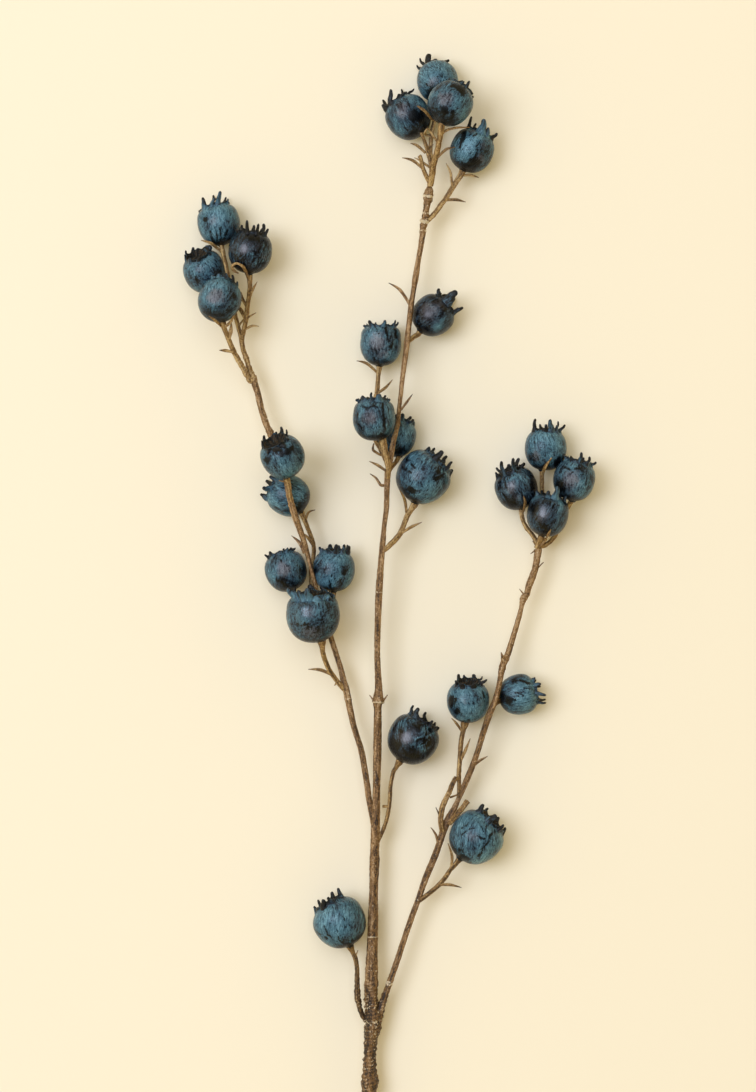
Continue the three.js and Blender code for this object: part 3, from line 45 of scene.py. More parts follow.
# centre, radius, crown direction and sepals [azimuth from the upper side, length, flare, width]
BERRIES = {
    "berry_top_1": {"c": [19.17, 214.34, 8.2], "r": 8.23, "ax": [-0.093, 0.779, -0.62], "sepals": [[277.5, 5.35, 30.0, 1.59], [307.5, 5.35, 30.0, 1.19], [337.5, 5.35, 15.0, 2.98], [82.5, 5.35, 15.0, 1.59], [127.5, 7.24, 62.0, 1.59], [198.3, 3.66, 13.0, 1.94], [33.2, 3.16, 2.0, 1.97], [240.6, 3.01, 5.0, 1.81]]},
    "berry_top_2": {"c": [23.64, 203.82, 22.9], "r": 8.77, "ax": [0.524, 0.777, -0.35], "sepals": [[15.0, 3.95, 15.0, 1.57], [191.4, 3.72, 6.0, 2.02], [285.9, 3.18, 8.0, 2.05], [103.7, 3.82, 8.0, 1.86], [233.6, 3.74, 14.0, 1.63], [326.3, 3.2, 13.0, 2.22], [64.3, 4.0, 11.0, 2.3], [145.3, 3.49, 10.0, 2.31]]},
    "berry_top_3": {"c": [7.71, 200.14, 8.9], "r": 8.86, "ax": [-0.567, 0.815, -0.12], "sepals": [[232.5, 4.87, 15.0, 2.38], [330.0, 4.87, 30.0, 1.19], [0.0, 5.76, 45.0, 2.38], [30.0, 4.87, 45.0, 0.99], [97.5, 3.99, 45.0, 1.19], [163.5, 3.38, 13.0, 1.53], [275.3, 3.85, 1.0, 1.93]]},
    "berry_top_4": {"c": [32.56, 186.92, 8.75], "r": 8.67, "ax": [0.423, 0.906, 0.0], "sepals": [[307.5, 5.63, 30.0, 1.19], [217.5, 6.5, 15.0, 1.19], [352.5, 5.63, 30.0, 2.39], [120.0, 4.77, 30.0, 1.79], [55.7, 3.26, 3.0, 2.3], [165.0, 3.91, 1.0, 2.18], [257.6, 3.09, 9.0, 2.37]]},
    "berry_left_top_1": {"c": [-67.74, 157.65, 8.5], "r": 8.47, "ax": [-0.2, 0.98, 0.0], "sepals": [[255.0, 2.96, 62.0, 1.59], [217.5, 5.5, 15.0, 2.39], [0.0, 5.5, 15.0, 1.59], [37.5, 5.5, 15.0, 2.39], [97.5, 4.66, 0.0, 1.19], [135.0, 3.81, 45.0, 1.19], [303.9, 3.59, 6.0, 2.02], [179.0, 3.07, 8.0, 2.05]]},
    "berry_left_top_2": {"c": [-55.23, 146.23, 14.8], "r": 8.67, "ax": [0.119, 0.986, 0.12], "sepals": [[345.0, 5.63, 30.0, 2.37], [180.0, 3.9, 30.0, 1.19], [22.5, 4.77, 15.0, 1.58], [142.5, 4.77, 30.0, 1.58], [112.5, 3.03, 30.0, 1.19], [315.0, 3.03, 62.0, 1.58], [246.0, 3.31, 13.0, 1.53], [61.5, 3.76, 1.0, 1.93]]},
    "berry_left_top_3": {"c": [-73.35, 138.81, 8.45], "r": 8.43, "ax": [-0.341, 0.825, 0.45], "sepals": [[292.5, 3.79, 0.0, 1.59], [210.0, 3.79, 30.0, 1.19], [352.5, 7.42, 15.0, 1.99], [37.5, 4.64, 15.0, 1.59], [123.2, 3.17, 3.0, 2.3], [162.8, 3.81, 1.0, 2.18], [75.4, 3.01, 9.0, 2.37], [255.1, 3.77, 10.0, 2.15]]},
    "berry_left_top_4": {"c": [-67.17, 126.49, 20.3], "r": 8.51, "ax": [0.25, 0.857, -0.45], "sepals": [[225.0, 6.39, 0.0, 1.58], [7.5, 3.83, 15.0, 1.58], [121.6, 3.49, 1.0, 2.32], [297.9, 3.85, 2.0, 2.01], [69.2, 3.9, 7.0, 2.08], [177.4, 3.52, 9.0, 2.32], [266.2, 3.29, 9.0, 2.13]]},
    "berry_centre_1": {"c": [17.1, 121.48, 8.3], "r": 8.27, "ax": [0.769, 0.639, 0.0], "sepals": [[277.5, 2.89, 45.0, 1.59], [352.5, 6.2, 0.0, 2.78], [75.0, 4.55, 15.0, 1.99], [174.8, 3.16, 13.0, 1.53], [220.2, 3.59, 1.0, 1.93], [123.2, 3.8, 3.0, 2.31], [33.2, 3.58, 0.0, 1.87], [309.7, 3.11, 14.0, 2.18]]},
    "berry_centre_2": {"c": [-3.46, 109.56, 8.25], "r": 8.23, "ax": [0.0, 0.999, 0.05], "sepals": [[225.0, 3.7, 30.0, 1.59], [345.0, 4.53, 45.0, 1.59], [165.0, 3.7, 30.0, 1.59], [90.0, 3.7, 15.0, 1.59], [60.0, 4.53, 45.0, 1.19], [284.4, 3.09, 3.0, 2.3], [18.7, 3.72, 1.0, 2.18], [122.6, 2.94, 9.0, 2.37]]},
    "berry_centre_3": {"c": [-6.07, 79.53, 22.8], "r": 8.42, "ax": [0.0, 0.999, 0.05], "sepals": [[262.5, 2.95, 62.0, 1.57], [322.5, 4.63, 45.0, 1.57], [195.0, 2.95, 45.0, 1.57], [352.5, 4.63, 30.0, 1.57], [22.5, 4.63, 15.0, 1.97], [142.5, 4.63, 45.0, 1.57], [87.8, 3.45, 1.0, 2.32]]},
    "berry_centre_4": {"c": [2.39, 73.1, 8.0], "r": 7.95, "ax": [0.301, 0.954, 0.0], "sepals": [[0.0, 3.58, 15.0, 1.99], [150.0, 4.37, 30.0, 1.59], [37.5, 3.58, 62.0, 1.19], [259.2, 3.18, 3.0, 2.18], [95.3, 2.76, 1.0, 1.88], [210.4, 2.79, 2.0, 1.99], [313.1, 3.07, 5.0, 1.54]]},
    "berry_centre_5": {"c": [13.09, 57.14, 10.65], "r": 10.64, "ax": [0.706, 0.706, 0.05], "sepals": [[322.5, 3.72, 62.0, 1.59], [210.0, 3.72, 45.0, 1.59], [352.5, 4.79, 30.0, 1.98], [150.0, 3.72, 15.0, 1.98], [45.0, 3.72, 30.0, 1.59], [268.4, 4.27, 9.0, 1.93], [97.0, 4.83, 14.0, 2.27]]},
    "berry_left_mid_1": {"c": [-41.92, 64.94, 24.0], "r": 8.61, "ax": [-0.401, 0.767, 0.5], "sepals": [[210.0, 3.01, 30.0, 1.57], [127.5, 3.87, 15.0, 2.36], [97.5, 3.01, 30.0, 1.57], [315.0, 4.74, 15.0, 1.57], [25.7, 3.24, 3.0, 2.3], [258.7, 3.89, 1.0, 2.18], [163.8, 3.07, 9.0, 2.37], [65.4, 3.86, 10.0, 2.15]]},
    "berry_left_mid_2": {"c": [-39.88, 49.91, 8.4], "r": 8.35, "ax": [-0.882, 0.471, 0.0], "sepals": [[345.0, 4.59, 30.0, 1.99], [172.5, 5.43, 30.0, 1.59], [202.5, 2.92, 45.0, 1.59], [84.1, 3.42, 1.0, 2.32], [275.4, 3.78, 2.0, 2.01], [39.2, 3.83, 7.0, 2.08], [132.4, 3.45, 9.0, 2.32], [243.7, 3.23, 9.0, 2.13]]},
    "berry_left_mid_3": {"c": [-41.03, 19.89, 8.35], "r": 8.31, "ax": [-0.301, 0.954, 0.0], "sepals": [[240.0, 3.74, 45.0, 1.59], [315.0, 2.91, 15.0, 1.59], [165.0, 2.91, 30.0, 1.99], [30.0, 2.91, 45.0, 1.19], [127.5, 2.91, 62.0, 1.59], [82.9, 3.32, 3.0, 2.18], [354.1, 2.88, 1.0, 1.88], [283.3, 2.92, 2.0, 1.99]]},
    "berry_left_mid_4": {"c": [-22.14, 20.09, 8.45], "r": 8.43, "ax": [0.05, 0.994, 0.1], "sepals": [[277.5, 2.95, 30.0, 1.59], [330.0, 2.95, 30.0, 1.59], [7.5, 4.64, 15.0, 1.59], [37.5, 4.64, 15.0, 1.59], [120.0, 3.79, 15.0, 1.19], [200.9, 3.38, 9.0, 1.93], [78.3, 3.83, 14.0, 2.27], [161.5, 3.07, 4.0, 1.56]]},
    "berry_left_mid_5": {"c": [-30.23, 2.2, 18.5], "r": 10.66, "ax": [-0.049, 0.979, 0.2], "sepals": [[285.0, 3.73, 30.0, 2.37], [352.5, 4.8, 0.0, 2.76], [22.5, 3.73, 15.0, 2.37], [149.1, 3.89, 3.0, 1.64], [221.0, 4.15, 8.0, 2.17], [82.8, 4.86, 13.0, 1.94], [179.3, 4.72, 6.0, 2.06]]},
    "berry_right_top_1": {"c": [62.07, 68.12, 8.3], "r": 8.35, "ax": [0.05, 0.996, 0.08], "sepals": [[225.0, 6.26, 15.0, 1.59], [337.5, 6.26, 30.0, 1.19], [165.0, 5.43, 15.0, 2.39], [45.0, 5.43, 15.0, 1.19], [82.5, 4.59, 30.0, 1.59], [286.6, 3.42, 1.0, 2.32], [125.4, 3.78, 2.0, 2.01]]},
    "berry_right_top_2": {"c": [50.57, 52.65, 8.5], "r": 8.47, "ax": [-0.396, 0.91, 0.12], "sepals": [[225.0, 3.81, 15.0, 1.19], [300.0, 2.96, 30.0, 1.19], [187.5, 4.66, 15.0, 2.39], [150.0, 4.66, 30.0, 1.59], [52.5, 5.5, 30.0, 2.39], [90.0, 2.96, 62.0, 1.59], [0.4, 3.39, 3.0, 2.18], [264.1, 2.94, 1.0, 1.88]]},
    "berry_right_top_3": {"c": [73.12, 55.89, 12.0], "r": 8.25, "ax": [0.248, 0.964, 0.1], "sepals": [[292.5, 2.89, 45.0, 1.59], [225.0, 2.89, 15.0, 1.59], [345.0, 4.54, 15.0, 1.59], [15.0, 3.71, 30.0, 1.59], [82.5, 3.71, 15.0, 1.59], [112.5, 3.71, 45.0, 1.19], [170.9, 3.31, 9.0, 1.93]]},
    "berry_right_top_4": {"c": [62.42, 41.79, 14.2], "r": 8.28, "ax": [0.2, 0.979, 0.05], "sepals": [[240.0, 2.9, 62.0, 1.58], [210.0, 3.72, 15.0, 1.98], [0.0, 6.21, 15.0, 2.77], [150.0, 6.21, 30.0, 2.38], [52.5, 4.55, 30.0, 1.58], [295.3, 3.02, 3.0, 1.64], [105.2, 3.22, 8.0, 2.17]]},
    "berry_right_low_1": {"c": [31.33, -31.95, 8.5], "r": 8.51, "ax": [0.0, 0.954, 0.3], "sepals": [[315.0, 6.38, 15.0, 1.59], [195.0, 2.98, 30.0, 1.59], [157.5, 2.98, 15.0, 2.39], [52.5, 5.53, 15.0, 1.59], [90.0, 3.83, 45.0, 1.59], [259.2, 3.4, 3.0, 2.18], [5.3, 2.95, 1.0, 1.88]]},
    "berry_right_low_2": {"c": [51.23, -29.19, 8.1], "r": 8.07, "ax": [0.975, 0.221, 0.0], "sepals": [[225.0, 2.83, 62.0, 1.59], [195.0, 3.63, 30.0, 1.99], [157.5, 4.44, 15.0, 1.99], [60.0, 3.63, 15.0, 1.59], [324.6, 3.24, 9.0, 1.93], [274.3, 3.67, 14.0, 2.27], [109.8, 2.94, 4.0, 1.56], [14.1, 3.44, 5.0, 2.36]]},
    "berry_right_low_3": {"c": [34.25, -85.76, 10.7], "r": 10.68, "ax": [0.69, 0.72, 0.08], "sepals": [[277.5, 3.74, 15.0, 2.78], [322.5, 4.8, 30.0, 1.19], [352.5, 6.94, 45.0, 1.98], [157.5, 3.74, 62.0, 1.59], [37.5, 3.74, 30.0, 1.59], [212.8, 3.9, 3.0, 1.64], [101.5, 4.15, 8.0, 2.17]]},
    "berry_base_1": {"c": [9.13, -46.86, 10.0], "r": 10.01, "ax": [0.522, 0.853, 0.0], "sepals": [[232.5, 4.5, 30.0, 1.59], [307.5, 4.5, 0.0, 2.38], [352.5, 4.5, 30.0, 1.59], [22.5, 3.5, 30.0, 1.59], [127.5, 3.5, 62.0, 1.59], [182.1, 4.02, 9.0, 1.93], [74.5, 4.54, 14.0, 2.27], [271.1, 3.65, 4.0, 1.56]]},
    "berry_base_2": {"c": [-19.66, -119.37, 10.4], "r": 10.4, "ax": [-0.51, 0.86, 0.0], "sepals": [[315.0, 3.64, 30.0, 1.99], [195.0, 3.64, 30.0, 1.99], [30.0, 3.64, 15.0, 1.99], [82.5, 3.64, 15.0, 1.99], [250.3, 3.8, 3.0, 1.64], [142.7, 4.05, 8.0, 2.17], [349.5, 4.75, 13.0, 1.94]]},
}
# strands and bracts as [x, y, z, half width]
STEMS = {
    "main_stem": {
        "s": [
            [[-10.04, -226.4, 6.8, 2.69], [-9.25, -210.42, 7.1, 2.65], [-8.51, -194.44, 7.5, 2.75], [-8.07, -186.47, 7.6, 2.86], [-7.83, -182.87, 7.7, 3.34], [-7.95, -178.5, 7.7, 2.59], [-7.69, -170.53, 7.8, 2.49], [-7.04, -162.96, 7.9, 2.86], [-6.46, -158.57, 8.0, 3.28], [-6.86, -153.78, 8.1, 2.88], [-7.17, -149.01, 8.1, 2.57], [-7.1, -138.66, 8.2, 2.49], [-6.94, -129.1, 8.3, 2.13], [-6.6, -117.56, 8.4, 1.99], [-6.32, -106.26, 8.5, 1.71], [-6.04, -94.88, 8.6, 1.99], [-6.0, -91.7, 8.6, 1.75], [-5.64, -81.74, 8.8, 1.79], [-5.15, -67.02, 9.1, 1.45], [-4.89, -51.88, 9.6, 1.63], [-4.77, -41.93, 10.0, 1.59], [-4.59, -33.98, 10.3, 1.57], [-4.45, -31.19, 10.4, 2.26], [-4.25, -27.21, 10.6, 1.59], [-4.55, -20.45, 11.0, 1.29], [-4.85, -11.71, 11.4, 1.15], [-4.65, -0.59, 12.0, 1.23], [-4.13, 11.72, 12.8, 1.39], [-3.48, 21.23, 13.4, 1.25], [-2.63, 31.65, 14.4, 1.15], [-2.06, 38.26, 15.0, 0.93], [-1.23, 44.98, 15.7, 1.09], [-1.03, 51.42, 16.3, 1.09], [-0.76, 58.01, 17.0, 1.24], [-0.26, 61.28, 17.4, 1.19], [0.56, 65.89, 17.8, 1.07], [1.47, 71.13, 18.0, 0.99], [3.13, 77.73, 17.8, 0.87], [3.79, 84.48, 17.0, 0.85], [4.53, 90.97, 15.8, 0.91], [5.25, 97.63, 14.8, 0.99], [6.22, 104.4, 14.0, 1.09], [6.96, 110.88, 13.5, 1.15], [7.71, 117.5, 13.4, 1.07], [8.44, 124.24, 13.4, 1.13], [9.42, 130.77, 12.4, 0.99], [10.35, 136.7, 11.0, 1.23], [11.43, 143.52, 10.2, 1.03], [12.63, 150.29, 9.9, 1.11], [13.38, 156.25, 9.9, 1.27], [13.9, 159.03, 9.9, 1.59], [14.45, 162.61, 9.9, 1.19], [14.97, 166.18, 9.9, 1.47], [15.53, 168.95, 10.0, 1.67], [15.88, 172.51, 10.1, 1.43]],
        ],
        "b": [
            [[7.91, 125.76, 13.2, 0.63], [6.31, 128.39, 13.3, 0.65], [4.15, 131.37, 13.4, 0.67], [1.67, 133.11, 13.41, 0.4], [-0.33, 134.14, 13.4, 0.12]],
            [[-1.8, 54.06, 16.6, 0.67], [-2.51, 53.89, 16.71, 0.65], [-3.46, 54.06, 16.8, 0.63], [-4.37, 55.34, 16.74, 0.57], [-5.36, 56.83, 16.6, 0.51], [-6.67, 57.83, 16.39, 0.32], [-7.73, 58.5, 16.2, 0.12]],
            [[4.52, 83.67, 17.4, 0.51], [5.56, 85.04, 17.86, 0.55], [6.88, 86.79, 18.4, 0.59], [8.11, 88.51, 18.76, 0.36], [9.04, 89.85, 19.0, 0.12]],
            [[-6.16, -31.59, 10.4, 0.52], [-7.94, -29.2, 10.6, 0.16]],
            [[-2.58, -31.59, 10.4, 0.52], [-0.8, -29.2, 10.6, 0.16]],
        ],
    },
    "left_branch": {
        "s": [
            [[-53.62, 94.54, 8.8, 1.31], [-52.46, 90.76, 8.9, 1.23], [-51.66, 87.18, 9.1, 1.29], [-50.86, 83.98, 9.4, 1.19], [-49.85, 80.79, 9.8, 1.29], [-48.72, 77.6, 10.3, 1.25], [-47.24, 74.4, 10.9, 1.35], [-45.42, 69.61, 12.0, 1.19], [-42.99, 64.02, 13.6, 1.19], [-41.56, 59.22, 15.4, 1.19], [-40.31, 54.04, 17.6, 1.18], [-39.3, 48.78, 18.5, 1.18], [-37.66, 42.86, 17.8, 1.3], [-35.42, 36.28, 15.8, 1.19], [-33.48, 30.35, 14.0, 1.07], [-31.83, 23.73, 13.2, 0.91], [-30.61, 19.13, 13.0, 0.79], [-29.25, 13.8, 11.3, 0.83], [-28.22, 9.28, 8.6, 0.91], [-26.86, 4.48, 6.9, 1.0], [-25.15, -0.7, 6.8, 1.07], [-22.95, -7.46, 7.2, 1.13], [-21.16, -13.02, 7.6, 1.09], [-19.33, -18.81, 7.9, 1.09], [-17.97, -24.53, 8.1, 1.27], [-17.18, -27.32, 8.1, 1.33], [-15.55, -35.66, 8.2, 1.27], [-14.23, -41.62, 8.3, 1.19], [-12.56, -47.18, 8.4, 1.13], [-10.93, -52.74, 8.5, 1.19], [-8.94, -64.27, 8.6, 1.19], [-8.19, -69.83, 8.7, 1.23], [-6.99, -76.97, 8.9, 1.09], [-6.4, -81.33, 9.0, 0.89]],
        ],
        "b": [
            [[-47.83, 75.0, 10.8, 0.64], [-45.99, 75.58, 11.4, 0.4]],
            [[-33.68, 26.98, 13.6, 0.71], [-34.37, 28.81, 13.72, 0.75], [-35.46, 31.02, 13.8, 0.79], [-37.22, 32.76, 13.61, 0.46], [-38.76, 33.99, 13.4, 0.12]],
        ],
    },
    "right_branch": {
        "s": [
            [[58.96, 28.76, 9.4, 1.59], [58.97, 27.17, 9.3, 1.43], [57.98, 21.61, 9.2, 1.29], [56.83, 18.03, 9.1, 1.39], [55.4, 14.25, 9.0, 1.35], [54.53, 10.67, 9.0, 1.15], [53.14, 8.89, 9.0, 1.39], [52.52, 6.1, 9.0, 0.93], [51.47, 1.73, 8.9, 1.03], [49.27, -5.62, 8.8, 1.09], [46.98, -12.77, 10.4, 1.25], [44.88, -17.64, 12.0, 1.31], [43.59, -24.33, 13.2, 1.05], [41.95, -31.07, 13.2, 1.15], [40.01, -35.85, 12.6, 1.25], [37.15, -44.25, 11.2, 1.17], [35.14, -51.05, 10.3, 1.11], [32.75, -57.85, 9.5, 1.21], [30.13, -64.24, 9.0, 1.19], [27.23, -71.01, 8.8, 0.95], [25.8, -74.19, 8.8, 1.15], [22.32, -80.95, 8.8, 1.49], [20.07, -87.71, 8.8, 1.31], [17.81, -94.07, 8.7, 1.31], [14.39, -102.26, 8.7, 1.27], [11.29, -111.18, 8.6, 1.11], [8.75, -117.95, 8.5, 1.15], [5.33, -127.89, 8.5, 1.13], [3.34, -134.1, 8.4, 1.19], [1.35, -139.83, 8.4, 1.17], [-0.43, -144.99, 8.4, 1.19], [-1.95, -149.38, 8.3, 1.23], [-3.14, -153.37, 8.2, 1.49], [-4.09, -157.74, 8.2, 1.49], [-4.97, -163.33, 8.1, 1.19]],
        ],
        "b": [
            [[58.69, 21.21, 9.3, 0.52], [61.21, 23.48, 9.7, 0.12]],
            [[53.45, 10.64, 9.2, 0.48], [51.64, 12.87, 9.6, 0.12]],
            [[44.67, -17.82, 12.4, 0.67], [44.78, -16.49, 12.69, 0.79], [44.81, -14.83, 13.0, 0.91], [44.5, -13.31, 13.14, 0.53], [44.17, -12.17, 13.2, 0.16]],
            [[57.8, 28.16, 9.5, 0.44], [56.01, 26.85, 9.7, 0.12]],
            [[32.57, -58.04, 9.6, 0.6], [33.84, -56.85, 9.89, 0.64], [35.54, -55.42, 10.2, 0.68], [37.41, -54.32, 10.34, 0.4], [38.9, -53.55, 10.4, 0.12]],
            [[19.36, -89.28, 9.0, 0.6], [19.0, -87.26, 9.29, 0.6], [18.39, -84.86, 9.6, 0.6], [17.34, -83.08, 9.74, 0.36], [16.4, -81.86, 9.8, 0.12]],
        ],
    },
    "top_spray_twig": {
        "s": [
            [[20.17, 194.65, 23.6, 1.22], [19.69, 190.63, 21.6, 1.1], [18.79, 185.96, 19.0, 1.1], [17.53, 181.48, 16.0, 1.19], [16.83, 177.39, 13.2, 1.27], [16.07, 173.03, 10.9, 1.27]],
            [[12.69, 194.42, 14.2, 1.03], [14.07, 189.82, 12.2, 0.87], [15.37, 185.42, 12.2, 0.87], [16.44, 181.22, 12.6, 0.91], [16.67, 177.38, 12.9, 0.91]],
            [[18.97, 205.62, 8.3, 0.87], [18.09, 200.1, 8.6, 0.83], [16.68, 193.2, 9.8, 0.83], [16.3, 187.08, 11.2, 0.83], [16.6, 180.98, 12.6, 0.87]],
            [[16.14, 173.39, 11.2, 0.91], [13.62, 178.69, 13.2, 0.83], [12.3, 183.46, 14.2, 0.83], [11.82, 184.5, 14.4, 0.87]],
        ],
        "b": [
            [[13.42, 179.21, 13.2, 0.59], [11.58, 180.83, 13.51, 0.63], [9.21, 182.59, 13.8, 0.67], [6.85, 183.37, 13.74, 0.4], [5.02, 183.72, 13.6, 0.12]],
            [[14.28, 185.91, 11.0, 0.52], [12.79, 187.27, 11.47, 0.58], [10.98, 188.74, 12.0, 0.63], [9.46, 189.35, 12.26, 0.38], [8.35, 189.6, 12.4, 0.12]],
            [[15.27, 186.91, 11.0, 0.48], [15.71, 187.54, 11.37, 0.5], [16.29, 188.28, 11.8, 0.52], [16.93, 188.78, 12.05, 0.32], [17.44, 189.11, 12.2, 0.12]],
            [[15.88, 180.06, 13.0, 0.52], [14.98, 180.65, 13.39, 0.52], [13.89, 181.4, 13.8, 0.51], [13.01, 182.11, 13.95, 0.34], [12.38, 182.65, 14.0, 0.16]],
            [[12.06, 182.59, 14.2, 0.51], [9.84, 183.59, 14.8, 0.12]],
            [[18.96, 183.39, 18.0, 0.55], [20.42, 184.88, 18.31, 0.59], [22.31, 186.48, 18.6, 0.63], [24.28, 187.12, 18.54, 0.37], [25.83, 187.37, 18.4, 0.12]],
            [[18.92, 189.0, 20.4, 0.55], [18.02, 190.35, 20.89, 0.55], [16.86, 192.03, 21.4, 0.55], [15.66, 193.57, 21.56, 0.33], [14.73, 194.73, 21.6, 0.12]],
            [[20.43, 191.96, 22.0, 0.59], [21.15, 192.71, 22.28, 0.57], [22.39, 193.59, 22.6, 0.55], [24.27, 194.17, 22.82, 0.53], [26.51, 194.57, 22.9, 0.51], [29.22, 194.7, 22.67, 0.31], [31.41, 194.71, 22.4, 0.12]],
            [[16.08, 192.73, 10.4, 0.48], [15.38, 192.91, 10.52, 0.48], [14.43, 193.19, 10.7, 0.48], [13.88, 193.61, 12.32, 0.48], [14.13, 194.33, 13.08, 0.37], [14.76, 195.19, 13.16, 0.26], [15.25, 195.8, 13.0, 0.16]],
            [[18.01, 199.36, 8.8, 0.52], [17.45, 199.21, 10.39, 0.54], [16.68, 199.28, 12.4, 0.56], [15.84, 200.0, 14.18, 0.57], [14.93, 200.93, 15.7, 0.59], [14.0, 201.73, 16.65, 0.59], [13.01, 202.48, 17.2, 0.59], [11.8, 203.23, 17.34, 0.4], [10.84, 203.78, 17.3, 0.2]],
        ],
    },
    "right_top_twig": {
        "s": [
            [[60.27, 59.54, 7.8, 0.88], [60.75, 52.25, 6.0, 0.84], [61.72, 44.31, 3.9, 0.84], [61.17, 36.32, 5.6, 0.88], [59.68, 31.14, 8.4, 1.07]],
            [[52.62, 44.71, 8.0, 0.91], [52.65, 41.4, 8.3, 0.87], [54.31, 37.42, 8.6, 0.87], [56.96, 34.08, 8.8, 0.91], [58.62, 31.34, 9.1, 1.07]],
            [[72.58, 47.41, 11.0, 1.07], [70.86, 45.37, 9.0, 0.91], [68.3, 39.51, 6.4, 0.88], [65.44, 33.53, 7.8, 0.88], [62.21, 30.51, 8.8, 0.91], [59.8, 29.75, 9.2, 1.07]],
            [[59.82, 32.88, 12.2, 1.19], [59.42, 31.34, 10.6, 1.27], [59.0, 29.23, 9.5, 1.55]],
        ],
        "b": [
            [[60.52, 57.21, 7.4, 0.6], [60.76, 58.24, 7.69, 0.64], [61.13, 59.7, 11.62, 0.68], [61.64, 61.15, 14.13, 0.72], [62.45, 62.55, 15.48, 0.53], [63.41, 63.92, 16.26, 0.34], [64.1, 64.88, 16.56, 0.16]],
            [[53.08, 43.87, 8.4, 0.6], [53.26, 44.71, 12.33, 0.61], [53.51, 45.9, 14.05, 0.62], [53.61, 47.04, 15.15, 0.64], [53.45, 48.06, 15.96, 0.48], [53.15, 49.03, 16.57, 0.32], [52.93, 49.7, 16.91, 0.16]],
            [[60.12, 30.15, 11.0, 0.63], [60.56, 30.84, 11.24, 0.71], [61.19, 31.84, 11.65, 0.79], [61.83, 32.92, 12.6, 0.87], [62.46, 34.19, 19.07, 0.63], [63.09, 35.54, 20.68, 0.4], [63.53, 36.5, 21.43, 0.16]],
            [[58.13, 30.55, 9.4, 0.6], [56.84, 31.94, 9.8, 0.16]],
        ],
    },
    "left_top_twig": {
        "s": [
            [[-66.83, 148.74, 8.6, 0.87], [-65.72, 144.55, 11.2, 0.83], [-64.76, 140.89, 13.2, 0.83], [-63.95, 136.58, 12.6, 0.83], [-63.05, 131.52, 11.4, 0.83], [-61.99, 125.65, 10.2, 0.83], [-61.22, 121.28, 9.6, 0.83], [-60.43, 117.99, 9.4, 0.83], [-59.33, 113.8, 9.2, 0.83], [-58.54, 109.39, 9.1, 0.91], [-56.91, 104.47, 9.0, 1.03], [-55.68, 100.29, 9.0, 1.11], [-54.09, 96.52, 8.9, 1.15]],
            [[-55.52, 137.47, 14.4, 1.03], [-55.39, 133.34, 13.6, 0.91], [-55.76, 129.04, 12.2, 0.91], [-56.46, 125.11, 11.6, 0.91], [-56.92, 120.31, 11.0, 0.95], [-57.82, 115.95, 10.3, 0.91], [-58.6, 111.55, 9.6, 0.91], [-57.98, 107.04, 9.2, 0.99]],
            [[-70.25, 131.09, 5.2, 0.84], [-65.93, 127.97, 5.4, 0.8], [-61.87, 125.84, 7.4, 0.8], [-59.42, 124.14, 9.0, 0.79], [-57.13, 120.22, 10.6, 0.79]],
            [[-59.26, 130.17, 10.8, 0.64], [-58.14, 127.56, 11.2, 0.6], [-56.54, 124.77, 11.4, 0.6]],
        ],
        "b": [
            [[-66.42, 146.54, 9.6, 0.6], [-67.5, 147.47, 10.01, 0.64], [-69.03, 148.76, 10.57, 0.67], [-70.57, 149.84, 12.5, 0.71], [-72.12, 150.51, 12.36, 0.52], [-73.67, 150.98, 11.19, 0.32], [-74.76, 151.29, 11.2, 0.12]],
            [[-55.62, 134.82, 14.9, 0.59], [-56.09, 136.23, 15.08, 0.63], [-56.78, 138.2, 19.47, 0.67], [-57.62, 139.8, 21.26, 0.71], [-58.74, 140.68, 21.56, 0.51], [-60.11, 141.26, 21.4, 0.5], [-61.35, 140.87, 20.9, 0.55], [-62.04, 140.07, 20.5, 0.6], [-61.82, 139.04, 20.1, 0.6], [-60.84, 138.15, 19.9, 0.5], [-59.62, 137.53, 19.7, 0.3]],
            [[-55.11, 129.25, 12.6, 0.55], [-54.62, 130.55, 12.99, 0.57], [-53.93, 132.16, 13.4, 0.59], [-53.1, 133.58, 13.55, 0.36], [-52.42, 134.64, 13.6, 0.12]],
            [[-56.54, 120.41, 11.4, 0.56], [-52.99, 122.43, 12.0, 0.12]],
            [[-57.53, 115.71, 10.4, 0.56], [-56.29, 116.47, 10.7, 0.58], [-54.69, 117.22, 11.0, 0.6], [-53.09, 117.27, 11.04, 0.36], [-51.84, 117.14, 11.0, 0.12]],
        ],
    },
    "a4_twig": {
        "s": [
            [[28.5, 177.66, 8.8, 1.23], [26.63, 174.81, 9.0, 1.03], [24.71, 171.64, 9.3, 1.03], [22.72, 168.39, 9.6, 1.03], [20.73, 165.83, 9.8, 1.03], [17.63, 161.65, 9.9, 1.07], [15.49, 159.63, 9.9, 0.91]],
        ],
        "b": [
            [[24.91, 172.76, 9.6, 0.6], [24.69, 175.2, 10.07, 0.6], [24.25, 178.1, 10.6, 0.6], [23.31, 180.28, 10.86, 0.36], [22.46, 181.79, 11.0, 0.12]],
            [[22.76, 167.46, 9.8, 0.6], [24.36, 167.53, 10.09, 0.64], [26.44, 167.48, 10.4, 0.67], [28.55, 167.0, 10.54, 0.4], [30.2, 166.51, 10.6, 0.12]],
            [[28.62, 177.17, 8.9, 0.56], [30.2, 177.31, 8.86, 0.58], [32.2, 177.34, 8.8, 0.6], [34.09, 176.88, 8.69, 0.36], [35.54, 176.4, 8.6, 0.12]],
        ],
    },
    "b4_twig": {
        "s": [
            [[-65.74, 117.43, 19.6, 1.18], [-65.11, 115.35, 18.8, 0.99], [-64.13, 112.85, 17.6, 0.99], [-62.45, 108.61, 15.2, 0.99], [-60.38, 104.34, 12.8, 1.03], [-57.8, 100.06, 10.6, 1.07], [-55.43, 95.51, 9.3, 1.03]],
        ],
        "b": [
